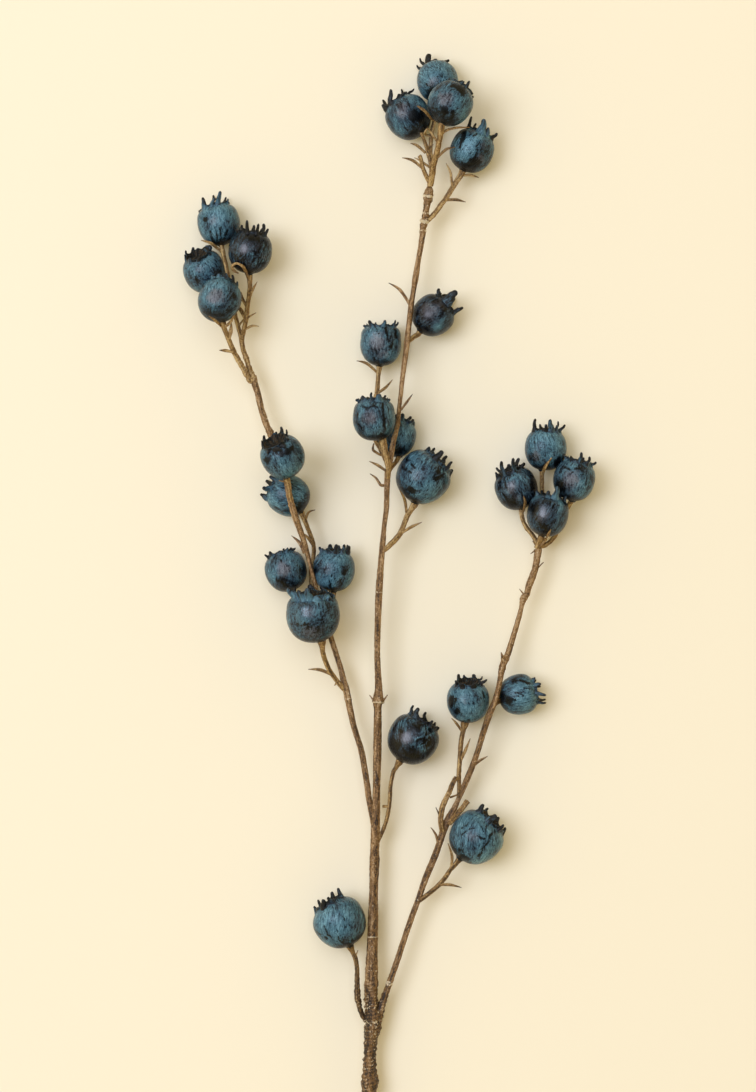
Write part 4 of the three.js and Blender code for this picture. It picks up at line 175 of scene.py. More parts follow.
            [[-65.94, 116.32, 19.6, 0.59], [-66.58, 116.87, 19.83, 0.62], [-67.5, 117.64, 23.03, 0.64], [-68.42, 118.39, 24.62, 0.67], [-69.34, 119.08, 25.42, 0.49], [-70.27, 119.74, 25.83, 0.32], [-70.93, 120.2, 25.97, 0.14]],
            [[-65.07, 116.32, 19.6, 0.59], [-64.49, 116.72, 19.83, 0.62], [-63.68, 117.3, 20.16, 0.64], [-62.9, 118.0, 20.6, 0.67], [-62.2, 118.9, 21.24, 0.49], [-61.54, 119.91, 23.6, 0.32], [-61.09, 120.63, 24.11, 0.14]],
            [[-63.59, 111.72, 17.4, 0.83], [-63.15, 113.07, 17.84, 0.87], [-62.68, 114.82, 18.4, 0.91], [-62.48, 116.6, 18.96, 0.53], [-62.4, 117.99, 19.4, 0.16]],
            [[-61.95, 106.72, 15.0, 0.67], [-63.38, 106.97, 15.39, 0.67], [-65.08, 107.23, 15.8, 0.67], [-66.38, 107.31, 15.95, 0.41], [-67.28, 107.34, 16.0, 0.14]],
        ],
    },
    "c1_stalk": {
        "s": [
            [[11.17, 114.05, 8.9, 1.07], [9.45, 112.87, 10.0, 0.91], [7.33, 111.06, 11.8, 0.87]],
        ],
        "b": [
        ],
    },
    "c2_twig": {
        "s": [
            [[-4.09, 100.89, 8.2, 1.11], [-4.49, 97.94, 8.4, 0.91], [-4.89, 91.95, 8.9, 0.91], [-6.24, 85.95, 10.0, 0.87], [-7.15, 79.15, 11.2, 0.87], [-5.96, 72.74, 13.2, 0.87], [-3.38, 67.93, 15.2, 0.87], [-1.21, 63.34, 16.9, 0.87]],
        ],
        "b": [
            [[-4.89, 98.92, 8.6, 0.6], [-6.73, 100.66, 9.19, 0.64], [-9.06, 102.52, 9.8, 0.68], [-11.3, 103.23, 9.98, 0.4], [-13.03, 103.5, 10.0, 0.12]],
            [[-4.33, 90.95, 9.2, 0.6], [-3.14, 91.72, 9.67, 0.62], [-1.59, 92.89, 10.2, 0.64], [-0.03, 94.55, 10.46, 0.38], [1.19, 95.97, 10.6, 0.12]],
            [[-3.38, 65.94, 15.8, 0.55], [-4.92, 66.75, 16.36, 0.57], [-6.43, 67.88, 17.0, 0.59], [-6.48, 69.3, 17.38, 0.41], [-6.15, 70.47, 17.6, 0.24]],
        ],
    },
    "c3_twig": {
        "s": [
            [[-2.64, 71.07, 21.4, 1.3], [-2.01, 68.17, 20.8, 1.22], [-1.34, 65.04, 20.1, 1.18], [-0.55, 61.11, 19.4, 1.14], [-0.54, 57.58, 18.6, 0.91]],
        ],
        "b": [
            [[-0.86, 59.14, 19.2, 0.51], [-2.5, 60.34, 19.43, 0.57], [-4.57, 61.74, 19.6, 0.63], [-6.54, 62.71, 19.43, 0.37], [-8.04, 63.37, 19.2, 0.12]],
        ],
    },
    "c4_twig": {
        "s": [
            [[4.34, 64.94, 8.2, 0.95], [2.69, 63.59, 11.6, 0.83], [1.29, 61.81, 14.8, 0.83], [-0.03, 59.79, 16.8, 0.83]],
        ],
        "b": [
        ],
    },
    "c5_twig": {
        "s": [
            [[9.88, 46.46, 10.6, 1.43], [8.69, 44.64, 10.7, 1.15], [6.82, 41.58, 11.0, 1.07], [4.15, 34.99, 12.2, 1.07], [0.34, 30.58, 13.8, 1.07], [-2.39, 28.17, 14.2, 0.91]],
        ],
        "b": [
            [[6.7, 43.24, 11.4, 0.6], [6.56, 44.55, 11.69, 0.62], [6.35, 46.42, 12.09, 0.65], [5.98, 48.19, 12.4, 0.67], [5.29, 49.77, 14.45, 0.49], [4.44, 51.27, 15.16, 0.3], [3.83, 52.31, 15.18, 0.12]],
            [[4.63, 35.02, 12.4, 0.59], [6.46, 36.2, 12.8, 0.63], [8.78, 37.6, 13.2, 0.67], [11.02, 38.63, 13.25, 0.4], [12.75, 39.34, 13.2, 0.12]],
        ],
    },
    "d1_stalk": {
        "s": [
            [[-40.68, 56.25, 21.8, 1.1], [-39.87, 54.38, 21.0, 0.98], [-39.5, 51.24, 20.2, 0.87], [-38.7, 48.1, 19.2, 0.71]],
        ],
        "b": [
            [[-40.8, 55.16, 21.6, 0.47], [-43.55, 55.7, 22.0, 0.14]],
        ],
    },
    "d2_twig": {
        "s": [
            [[-34.57, 42.32, 7.4, 1.07], [-32.64, 37.12, 6.6, 0.88], [-30.39, 31.03, 5.6, 0.88], [-30.24, 26.36, 4.8, 0.84], [-31.12, 21.98, 4.5, 0.84], [-31.28, 17.59, 4.5, 0.84], [-30.48, 12.41, 4.6, 0.84], [-28.24, 8.03, 5.4, 0.84], [-25.92, 3.47, 6.2, 0.84]],
        ],
        "b": [
            [[-33.46, 39.9, 7.2, 0.56], [-33.04, 41.52, 7.59, 0.54], [-32.29, 43.27, 8.0, 0.52], [-30.88, 43.98, 8.15, 0.32], [-29.62, 44.27, 8.2, 0.12]],
            [[-30.46, 30.19, 6.0, 0.6], [-31.38, 31.64, 6.49, 0.62], [-32.59, 33.33, 7.0, 0.64], [-33.89, 34.52, 7.16, 0.38], [-34.93, 35.32, 7.2, 0.12]],
        ],
    },
    "d3_d4_twig": {
        "s": [
            [[-38.42, 11.5, 8.0, 0.99], [-36.42, 8.45, 6.4, 0.84], [-32.88, 5.83, 4.6, 0.84], [-28.89, 3.43, 4.4, 0.84], [-25.5, -0.35, 4.6, 0.88], [-23.3, -5.12, 5.0, 0.92]],
            [[-22.38, 10.79, 8.4, 1.03], [-22.87, 6.88, 7.6, 0.88], [-23.45, 2.06, 5.6, 0.88], [-23.38, -4.33, 5.0, 0.92]],
        ],
        "b": [
        ],
    },
    "d5_twig": {
        "s": [
            [[-26.74, -8.46, 17.0, 1.58], [-26.63, -10.37, 16.4, 1.07], [-26.21, -13.18, 15.2, 0.99], [-24.28, -18.54, 12.2, 0.99], [-21.65, -22.59, 10.0, 0.99], [-18.25, -26.91, 8.4, 0.95]],
        ],
        "b": [
            [[-23.45, -20.83, 11.4, 0.67], [-25.22, -20.0, 11.8, 0.69], [-27.57, -19.14, 12.2, 0.71], [-30.14, -18.93, 12.25, 0.42], [-32.21, -18.94, 12.2, 0.12]],
            [[-20.66, -23.87, 9.8, 0.56], [-21.81, -25.45, 10.0, 0.2]],
        ],
    },
    "f1_twig": {
        "s": [
            [[29.67, -41.47, 8.2, 1.47], [29.23, -43.61, 8.3, 0.99], [28.35, -48.49, 8.5, 0.95], [27.9, -54.44, 8.8, 0.91], [27.5, -61.05, 9.2, 0.91], [27.61, -65.68, 9.4, 0.79], [27.37, -70.17, 9.4, 0.72]],
        ],
        "b": [
            [[28.82, -43.79, 8.6, 0.56], [27.86, -42.38, 8.99, 0.58], [26.66, -40.69, 9.4, 0.6], [25.55, -39.42, 9.55, 0.36], [24.71, -38.54, 9.6, 0.12]],
            [[28.38, -55.1, 9.0, 0.6], [29.14, -53.37, 9.4, 0.64], [30.15, -51.08, 9.8, 0.68], [31.21, -48.56, 9.85, 0.4], [32.05, -46.55, 9.8, 0.12]],
        ],
    },
    "f2_stalk": {
        "s": [
            [[43.53, -31.35, 8.6, 0.99], [42.27, -32.45, 10.6, 0.87], [40.63, -33.89, 12.2, 0.79]],
        ],
        "b": [
        ],
    },
    "f3_twig": {
        "s": [
            [[27.75, -94.32, 10.4, 1.39], [26.32, -96.09, 10.2, 0.99], [24.02, -98.72, 10.0, 0.91], [21.77, -102.17, 9.7, 0.91], [18.91, -105.3, 9.4, 0.91], [15.54, -108.19, 9.1, 0.91], [11.33, -111.36, 8.8, 0.87]],
        ],
        "b": [
            [[24.57, -97.69, 10.4, 0.6], [24.68, -96.44, 10.62, 0.61], [24.81, -94.65, 10.93, 0.62], [24.75, -92.86, 11.2, 0.63], [24.31, -91.06, 11.38, 0.46], [23.67, -89.25, 13.22, 0.29], [23.2, -87.98, 11.6, 0.12]],
            [[19.58, -104.66, 9.8, 0.6], [21.41, -104.5, 10.09, 0.64], [23.82, -104.48, 10.4, 0.67], [26.42, -105.04, 10.54, 0.4], [28.5, -105.62, 10.6, 0.12]],
        ],
    },
    "bare_spur_twig": {
        "s": [
            [[21.17, -83.27, 9.6, 1.11], [20.44, -80.01, 10.6, 1.11], [20.59, -76.39, 11.2, 1.03], [21.46, -72.41, 11.4, 1.11], [23.6, -68.05, 11.4, 1.03], [25.11, -64.28, 11.3, 0.99], [26.46, -61.71, 11.2, 0.83]],
        ],
        "b": [
            [[20.59, -78.51, 11.0, 0.6], [18.36, -73.73, 11.8, 0.14]],
        ],
    },
    "short_spur": {
        "s": [
            [[23.8, -80.15, 11.4, 0.99], [26.73, -76.42, 13.4, 1.03], [29.09, -73.6, 14.0, 0.99], [30.91, -71.02, 14.2, 1.07]],
        ],
        "b": [
        ],
    },
    "g1_twig": {
        "s": [
            [[3.61, -56.09, 9.7, 1.47], [2.66, -57.85, 9.5, 0.95], [1.43, -60.05, 9.3, 0.83], [0.44, -65.03, 9.1, 0.79], [0.12, -70.0, 9.0, 0.79], [-0.4, -74.97, 9.0, 0.79], [-1.55, -79.95, 8.9, 0.79], [-3.54, -85.12, 8.8, 0.79], [-5.17, -88.71, 8.7, 0.72]],
        ],
        "b": [
            [[-0.04, -73.49, 9.2, 0.6], [-2.74, -73.42, 9.6, 0.64]],
        ],
    },
    "g2_twig": {
        "s": [
            [[-15.45, -129.63, 9.9, 1.31], [-14.74, -131.34, 9.6, 0.91], [-13.55, -134.16, 9.2, 0.95], [-12.96, -138.02, 8.9, 0.91], [-12.92, -143.13, 8.7, 1.03], [-12.8, -149.35, 8.5, 1.19], [-11.73, -153.99, 8.3, 0.95], [-10.14, -157.96, 8.1, 0.87]],
        ],
        "b": [
            [[-13.63, -133.35, 9.4, 0.48], [-12.59, -130.72, 9.8, 0.14]],
        ],
    },
}
# cracks in the wrap that show cream: [x, y, reach, amount, swelling]
MARKS = [[-4.17, 11.67, 0.4, 0.55, 0.06], [-4.57, -32.05, 0.6, 0.62, 0.14], [-6.36, -94.45, 0.45, 0.5, 0.06], [-6.56, -105.97, 0.4, 0.5, 0.05], [-7.75, -113.52, 0.5, 0.35, 0], [-6.88, -125.44, 0.5, 0.62, 0.05], [-6.95, -138.56, 0.5, 0.5, 0.07], [-16.49, -30.86, 0.5, 0.6, 0.08], [-9.74, -61.86, 0.35, 0.5, 0.03], [-4.17, -59.07, 0.4, 0.3, 0], [-5.76, -75.37, 0.5, 0.4, 0.05], [-40.06, 49.82, 0.6, 0.6, 0.1], [13.71, 155.14, 0.8, 0.72, 0.05], [13.71, 158.72, 0.9, 0.78, 0.12], [14.11, 162.29, 0.8, 0.66, 0.05], [15.54, 168.65, 0.8, 0.5, 0.08], [7.75, 115.0, 0.5, 0.5, 0.05], [3.97, 91.95, 0.4, 0.5, 0.05], [4.97, 103.87, 0.4, 0.35, 0], [-0.6, -143.73, 1.35, 0.7, 0.06], [11.33, -110.74, 0.5, 0.5, 0.05], [49.08, -5.82, 0.35, 0.6, 0.03], [31.99, -58.68, 0.4, 0.5, 0.05], [2.98, -33.24, 0.4, 0.4, 0], [-55.04, 97.12, 0.7, 0.42, 0.05], [-54.45, 94.33, 0.5, 0.45, 0], [-1.79, 41.08, 0.4, 0.35, 0.03], [-7.35, -158.83, 2.2, 0.36, 0.0], [-6.16, -152.87, 3.2, 0.36, 0.0], [-7.75, -164.0, 4, 0.3, 0.0], [-7.75, -174.33, 7, 0.2, 0], [-7.75, -183.87, 0.8, 0.35, 0.1], [15.3, 169.05, 0.8, 0.2, 0.1]]
# how strongly the tape's turns show along the main stem, against y
SPIRAL = ([-194.36, -185.61, -174.48, -168.51, -155.38, -150.61, -144.65, -110.84], [0.03, 0.05, 0.06, 0.08, 0.09, 0.05, 0.0, 0])

# knotted and tightly bound places: [x, y, reach, roughness, tone, how much the turns show]
LUMPS = [[14.9, 167.46, 4.6, 0.3, -0.05, 0.8], [13.71, 158.72, 5.2, 0.5, 0.0, 1.0], [-55.84, 101.49, 6.5, 0.32, 0, 0.7], [1.39, 72.08, 8, 0.22, -0.03, 0.3], [-7.75, -154.46, 15, 0.13, -0.06, 0.55], [-7.75, -170.35, 16, 0.11, -0.08, 0.6], [-1.39, -151.67, 9, 0.22, -0.05, 0.3], [-46.3, 75.26, 3, 0.35, 0, 0.5], [52.66, 9.28, 2.5, 0.35, 0, 0.6], [44.71, -16.95, 3.5, 0.3, 0, 0.4], [-3.38, -162.41, 3, 0.35, 0, 0.3], [-4.57, -32.05, 1.6, 0.35, 0.05, 0.5], [19.28, -71.0, 8, 0.15, 0, 0.2], [-12.92, -150.48, 7, 0.22, -0.05, 0.2], [51.07, 24.39, 9, 0.2, 0, 0.25], [-39.94, 48.23, 5, 0.25, 0, 0.4]]
# small links too thin to collide
EXTRA = {"bare_spur_twig": [[[24.05, -70.01, 8.9, 0.42], [26.42, -69.1, 9.4, 0.34], [29.33, -67.68, 9.2, 0.42]]], "left_top_twig": [[[-59.65, 117.77, 9.2, 0.42], [-58.2, 119.53, 9.6, 0.36], [-56.98, 120.86, 9.4, 0.42]]]}

# Paint of each berry: how blue it is, the ribs' and base's strength, patches [dx, dy, size, amount] and brush marks
# [x0, y0, x1, y1, width, amount], seen from above in radii. A patch below 0 and a mark above 0 are black.
# The mauve patches [dx, dy, size, amount] are painted highlights. The base's darkness is partly painted shade, and a
# few dark patches and marks are painted shade.
LOOKS = {
    "berry_top_1": {"blue": 0.42, "round": 0.7, "sepal": -0.16, "collar": 0.55, "bloom": [(-0.3, -0.15, 0.4, 0.7)], "grain": 1.5, "patches": [(-0.5, 0.0, 0.45, 0.2), (-0.6, -0.15, 0.12, -0.8), (-0.35, -0.5, 0.16, -0.9), (0.15, 0.15, 0.12, -0.6), (0.45, 0.55, 0.14, -0.5)]},
    "berry_top_2": {"blue": 0.04, "round": 0.7, "base": 0.8, "bloom": [(-0.25, 0.1, 0.45, 0.85)], "patches": [(-0.3, 0.0, 0.35, -0.15), (0.55, 0.0, 0.4, 0.3), (-0.1, 0.6, 0.5, 0.15)],
                    "strokes": [(0.14, 0.72, 0.42, 0.64, 0.11, 1.1), (0.42, 0.64, 0.60, 0.50, 0.17, 1.2), (-0.28, -0.35, -0.22, -0.85, 0.10, 0.9), (0.08, -0.5, 0.12, -0.9, 0.11, 0.9)]},
    "berry_top_3": {"round": 0.6, "sepal": -0.16, "collar": 0.55, "bloom": [(-0.35, 0.25, 0.4, 0.8)], "blue": 0.0, "patches": [(0.1, 0.75, 0.45, 0.5), (-0.3, 0.1, 0.35, 0.18), (0.25, -0.05, 0.3, -1.0), (0.6, -0.15, 0.42, -1.0), (0.7, -0.5, 0.35, -0.8)],
                    "strokes": [(-0.3, -0.52, -0.05, -0.56, 0.05, -0.6)]},
    "berry_top_4": {"round": 0.5, "bloom": [(0.35, -0.5, 0.35, 0.7), (0.5, 0.1, 0.3, 0.5)], "blue": 0.12, "ribs": 1.8, "grain": 1.3, "patches": [(-0.18, 0.25, 0.42, 0.75), (-0.35, -0.35, 0.32, 0.55), (0.15, 0.45, 0.35, 0.5), (-0.25, -0.85, 0.42, -1.1), (0.55, -0.1, 0.45, -0.45), (0.12, -0.58, 0.28, -1.0)],
                    "strokes": [(-0.30, 0.85, -0.44, 0.45, 0.12, 1.2), (-0.44, 0.45, -0.56, 0.12, 0.09, 1.0), (0.42, 0.30, 0.12, -0.15, 0.06, 0.7), (0.20, -0.10, 0.05, -0.45, 0.08, 0.8), (0.25, 0.75, -0.05, 0.55, 0.03, 0.6), (0.0, 0.8, -0.2, 0.5, 0.03, 0.6), (-0.9, 0.62, -0.3, 0.92, 0.08, 0.9)]},
    "berry_left_top_1": {"round": 0.6, "ring": 1.05, "blue": 0.32, "patches": [(0.0, 0.5, 0.55, 0.25), (-0.57, 0.2, 0.13, -1.0), (0.7, -0.2, 0.4, -0.35)],
                         "strokes": [(-0.1, -0.3, -0.06, -0.85, 0.05, 0.75), (0.2, -0.2, 0.1, -0.8, 0.05, 0.8), (-0.4, -0.35, -0.25, -0.8, 0.05, 0.7), (0.45, -0.3, 0.25, -0.8, 0.06, 0.8)]},
    "berry_left_top_2": {"gloss": 0.6, "bloom": [(-0.3, 0.05, 0.3, 0.7), (0.3, 0.2, 0.4, 0.45), (0.7, -0.3, 0.3, 0.5)], "round": 0.6, "sepal": -0.16, "collar": 0.55, "blue": -0.5, "streak": 1.3, "grain": 1.6, "base": 1.3, "patches": [(0.6, -0.1, 0.4, 0.25), (0.1, 0.6, 0.5, -0.6)]},
    # berry_left_top_3's last patch, low on its right, is a painted shadow of berry_left_top_4's crown
    "berry_left_top_3": {"round": 0.5, "collar": 0.7, "blue": 0.22, "grain": 1.6, "patches": [(-0.5, -0.2, 0.4, 0.15), (0.75, -0.1, 0.3, -0.6), (-0.2, 0.75, 0.3, -0.6), (0.60, -0.42, 0.28, -1.0)]},
    "berry_left_top_4": {"base": 0.7, "bloom": [(-0.15, 0.15, 0.5, 0.9)], "streak": 0.8, "blue": 0.16, "patches": [(0.1, 0.5, 0.5, 0.2), (0.72, 0.2, 0.16, -0.9), (0.0, -0.95, 0.35, -1.0), (-0.2, 0.1, 0.3, -0.1)]},
    "berry_centre_1": {"gloss": 0.25, "round": 0.8, "blue": -0.35, "streak": 0.5, "bloom": [(-0.2, 0.2, 0.6, 0.8), (0.3, 0.4, 0.5, 0.55)], "patches": [(0.30, -0.60, 0.34, 0.95), (-0.55, -0.75, 0.28, -1.0), (-0.9, 0.1, 0.3, -0.9), (0.0, 0.7, 0.4, -0.3)]},
    "berry_centre_2": {"blue": 0.3, "round": 0.2, "ring": 1.17, "bloom": [(-0.15, 0.1, 0.55, 0.8), (0.1, -0.4, 0.5, 0.6)], "streak": 0.8, "ribs": 2.4, "patches": [(-0.6, 0.3, 0.4, 0.15), (0.5, -0.05, 0.14, -0.7)],
                       "strokes": [(0.25, 0.85, 0.4, 0.2, 0.06, 0.85), (0.7, 0.8, 0.75, 0.35, 0.07, 0.9), (-0.3, 0.9, -0.2, 0.5, 0.05, 0.7)]},
    # berry_centre_3's level dark mark just under its crown is painted shade
    "berry_centre_3": {"round": 0.3, "ring": 1.08, "bloom": [(-0.2, 0.05, 0.45, 0.8)], "blue": 0.12, "ribs": 2.4, "patches": [(0.72, 0.2, 0.3, 0.3), (0.3, -0.85, 0.34, -1.0), (-0.25, 0.0, 0.3, -0.12)],
                       "strokes": [(0.42, 0.7, 0.45, -0.5, 0.045, 0.95), (-0.6, 0.55, 0.1, 0.6, 0.06, 0.6), (-0.3, 0.5, -0.28, 0.15, 0.04, 0.6)]},
    "berry_centre_4": {"blue": 0.25, "patches": [(0.2, -0.7, 0.4, -0.8)]},
    "berry_centre_5": {"round": 1.0, "bloom": [(-0.3, 0.1, 0.35, 0.5)], "blue": 0.2, "twist": 0.35, "patches": [(-0.45, -0.45, 0.18, -1.0), (-0.25, -0.9, 0.25, -0.9)],
                       "strokes": [(0.35, -0.12, 0.62, 0.12, 0.045, 0.9), (0.5, -0.15, 0.8, 0.12, 0.04, 0.9), (0.4, 0.05, 0.6, 0.2, 0.04, 0.8), (-0.75, 0.45, -0.45, 0.15, 0.06, 0.8), (-0.55, 0.6, -0.3, 0.35, 0.04, 0.7), (-0.1, -0.7, 0.1, -0.45, 0.04, -0.5), (-0.25, -0.6, -0.05, -0.4, 0.04, -0.5), (0.0, 0.38, 0.06, 0.34, 0.05, 0.8)]},
    "berry_left_mid_1": {"blue": 0.14, "round": 0.8, "sepal": -0.16, "collar": 0.55, "bloom": [(-0.2, 0.0, 0.25, 0.4)], "patches": [(0.25, -0.25, 0.55, 0.3), (-0.65, 0.28, 0.17, -1.0), (-0.68, -0.15, 0.2, -1.0), (-0.3, 0.35, 0.2, -0.5), (0.5, 0.5, 0.35, -0.4), (0.24, 0.22, 0.17, -1.3), (0.02, 0.12, 0.14, -1.2), (0.40, 0.34, 0.14, -1.2), (-0.22, 0.20, 0.12, -1.1)]},
    "berry_left_mid_2": {"blue": 0.42, "patches": [(0.45, -0.6, 0.4, -0.8)]},
    # berry_left_mid_3's dark patch on its right side is painted shade
    "berry_left_mid_3": {"round": 0.6, "streak": 0.7, "bloom": [(-0.1, 0.1, 0.45, 0.9)], "blue": 0.0, "patches": [(0.15, 0.75, 0.4, 0.5), (-0.6, -0.1, 0.35, 0.35), (0.80, 0.05, 0.45, -0.62), (0.1, -0.7, 0.5, -0.5), (0.05, 0.05, 0.25, 0.12)]},
    "berry_left_mid_4": {"blue": 0.34, "ribs": 1.6, "patches": [(0.0, 0.15, 0.5, 0.15), (0.52, -0.05, 0.17, -1.0), (-0.85, 0.0, 0.25, -0.8), (-0.05, -0.9, 0.25, -1.0)],
                         "strokes": [(0.05, -0.35, 0.1, -0.85, 0.05, 0.8), (-0.25, -0.5, -0.2, -0.85, 0.05, 0.7), (0.4, -0.3, 0.3, -0.7, 0.05, 0.7), (0.55, 0.1, 0.3, 0.3, 0.04, 0.6)]},
    "berry_left_mid_5": {"gloss": 0.8, "bloom": [(-0.1, 0.2, 0.3, 0.4), (0.0, -0.6, 0.5, 0.7)], "blue": -0.08, "round": 0.5, "tall": 0.88, "ring": 1.12, "grain": 1.4, "patches": [(-0.5, 0.1, 0.4, 0.5), (0.2, 0.35, 0.35, 0.2), (0.2, -0.55, 0.5, -0.45)],
                         "strokes": [(-0.55, -0.34, -0.40, -0.30, 0.05, 0.75), (-0.28, -0.24, -0.12, -0.34, 0.06, 0.85), (0.02, -0.16, 0.12, -0.24, 0.06, 0.8), (0.2, -0.02, 0.34, -0.06, 0.045, 0.7), (-0.2, -0.42, 0.0, -0.38, 0.04, 0.7), (0.25, -0.25, 0.4, -0.2, 0.03, 0.6), (-0.05, 0.06, 0.1, 0.04, 0.03, 0.6), (-0.5, -0.22, -0.1, -0.14, 0.035, -0.6), (0.3, 0.55, 0.6, 0.35, 0.03, 0.6), (0.45, 0.6, 0.75, 0.42, 0.03, 0.6)]},
    "berry_right_top_1": {"round": 0.25, "sepal": -0.16, "collar": 0.55, "bloom": [(-0.55, -0.3, 0.35, 0.7)], "blue": 0.34, "grain": 1.3, "patches": [(0.1, 0.5, 0.55, 0.25), (-0.7, -0.35, 0.4, -0.5), (0.55, -0.6, 0.25, -1.0), (0.85, -0.4, 0.2, -0.9), (-0.1, -0.8, 0.3, -0.6)]},
    "berry_right_top_2": {"gloss": 0.35, "blue": -0.24, "round": 0.6, "sepal": -0.16, "collar": 0.55, "bloom": [(-0.3, 0.0, 0.35, 0.8), (0.0, -0.4, 0.4, 0.5)], "patches": [(0.0, 0.5, 0.35, 0.55), (-0.45, 0.62, 0.14, -1.0), (0.55, 0.85, 0.3, -1.0), (0.75, 0.1, 0.3, -0.9), (-0.2, -0.7, 0.5, -0.5)],
                          "strokes": [(-0.5, 0.35, 0.1, 0.6, 0.06, -0.5)]},
    "berry_right_top_3": {"round": 0.3, "bloom": [(-0.2, 0.0, 0.55, 0.8)], "blue": 0.08, "patches": [(0.2, -0.15, 0.45, 0.3), (-0.75, -0.3, 0.36, -1.0), (0.75, 0.1, 0.2, -0.4)],
                          "strokes": [(-0.55, 0.62, -0.1, 0.50, 0.06, 0.62), (0.05, 0.52, 0.55, 0.42, 0.06, 0.60), (0.2, 0.66, 0.6, 0.58, 0.04, 0.6), (-0.3, 0.25, -0.1, 0.4, 0.04, 0.7), (0.3, 0.3, 0.6, 0.15, 0.04, 0.6)]},
    "berry_right_top_4": {"gloss": 0.9, "bloom": [(-0.32, 0.0, 0.4, 0.7), (0.3, 0.3, 0.4, 0.35)], "streak": 0.8, "ring": 1.08, "blue": -0.3, "patches": [(0.5, 0.5, 0.35, 0.6), (-0.55, 0.45, 0.3, -0.62), (-0.15, -0.45, 0.4, -0.55), (0.2, 0.1, 0.3, -0.2)]},
    "berry_right_low_1": {"blue": 0.34, "round": 0.3, "sepal": -0.16, "collar": 0.55, "streak": 0.7, "ring": 0.95, "patches": [(0.0, 0.15, 0.5, 0.25), (-0.82, 0.05, 0.28, -1.0), (-0.55, -0.45, 0.25, -0.8), (0.0, -0.85, 0.25, -0.5)],
                          "strokes": [(0.62, 0.55, 0.72, 0.25, 0.07, 0.9), (-0.6, 0.2, -0.65, -0.2, 0.06, 0.8)]},
    "berry_right_low_2": {"blue": 0.22, "round": 0.9, "bloom": [(-0.2, 0.1, 0.2, 0.2)], "patches": [(-0.85, -0.05, 0.30, -1.0), (-0.80, 0.40, 0.22, -0.8), (-0.50, -0.25, 0.26, -1.0), (-0.2, 0.75, 0.2, -0.7), (0.3, -0.4, 0.4, 0.25), (-0.1, 0.2, 0.4, 0.35)],
                          "strokes": [(0.05, 0.75, 0.5, 0.55, 0.06, 0.85), (-0.15, 0.1, 0.3, 0.2, 0.04, 0.8), (-0.2, -0.05, 0.2, 0.02, 0.05, 0.8), (-0.3, -0.2, -0.05, -0.35, 0.05, 0.8), (0.3, 0.3, 0.7, 0.35, 0.04, 0.6)]},
    "berry_right_low_3": {"blue": 0.4, "round": 1.1, "sepal": -0.16, "collar": 0.55, "bloom": [(-0.15, 0.1, 0.3, 0.5)], "twist": 0.8, "patches": [(-0.3, 0.3, 0.5, 0.2), (-0.45, -0.72, 0.22, -1.0), (-0.55, -0.45, 0.16, -0.7)],
                          "strokes": [(0.55, 0.25, 0.42, -0.05, 0.045, 0.72), (0.42, -0.05, 0.02, -0.75, 0.05, 0.75), (-0.6, 0.1, -0.3, 0.35, 0.03, 0.7), (-0.3, 0.35, 0.0, 0.45, 0.03, 0.7), (-0.55, 0.35, -0.2, 0.62, 0.03, 0.6), (0.0, 0.2, 0.25, 0.0, 0.03, 0.7), (0.1, 0.5, 0.3, 0.3, 0.03, 0.6)]},
    "berry_base_1": {"gloss": 0.7, "blue": -0.48, "bloom": [(-0.3, 0.1, 0.32, 0.6)], "round": 1.0, "sepal": -0.16, "collar": 0.6, "streak": 1.35, "twist": 0.8, "base": 1.2, "bloom": [(-0.3, 0.1, 0.32, 0.85)],
                     "patches": [(0.50, 0.30, 0.42, 0.55), (-0.35, 0.72, 0.36, 0.65), (0.10, 0.55, 0.2, -0.9), (-0.75, -0.2, 0.35, -0.8), (0.0, -0.6, 0.45, -0.7)],
                     "strokes": [(0.05, -0.12, 0.48, 0.24, 0.035, -0.9), (0.28, -0.26, 0.60, 0.02, 0.045, -1.0), (0.50, 0.06, 0.86, 0.30, 0.04, -0.8), (0.46, -0.36, 0.74, -0.16, 0.05, -0.7), (0.34, 0.30, 0.62, 0.52, 0.03, -0.7), (0.18, -0.06, 0.40, 0.10, 0.028, 0.9), (0.38, -0.12, 0.66, 0.12, 0.03, 0.9), (0.20, 0.42, 0.42, 0.62, 0.04, 0.9)]},
    "berry_base_2": {"blue": 0.22, "round": 1.1, "sepal": -0.16, "collar": 0.55, "bloom": [(-0.2, 0.0, 0.3, 0.3)], "ring": 0.95, "twist": -0.7, "patches": [(-0.2, 0.3, 0.5, 0.2), (0.25, -0.6, 0.2, -0.5)],
                     "strokes": [(-0.35, 0.2, 0.25, -0.55, 0.03, 0.7), (-0.65, -0.1, -0.25, -0.6, 0.04, 0.7), (-0.8, -0.3, -0.5, -0.55, 0.04, 0.7), (0.1, 0.3, 0.45, -0.2, 0.03, 0.6), (-0.1, -0.5, 0.3, -0.85, 0.05, 0.7)]},
}
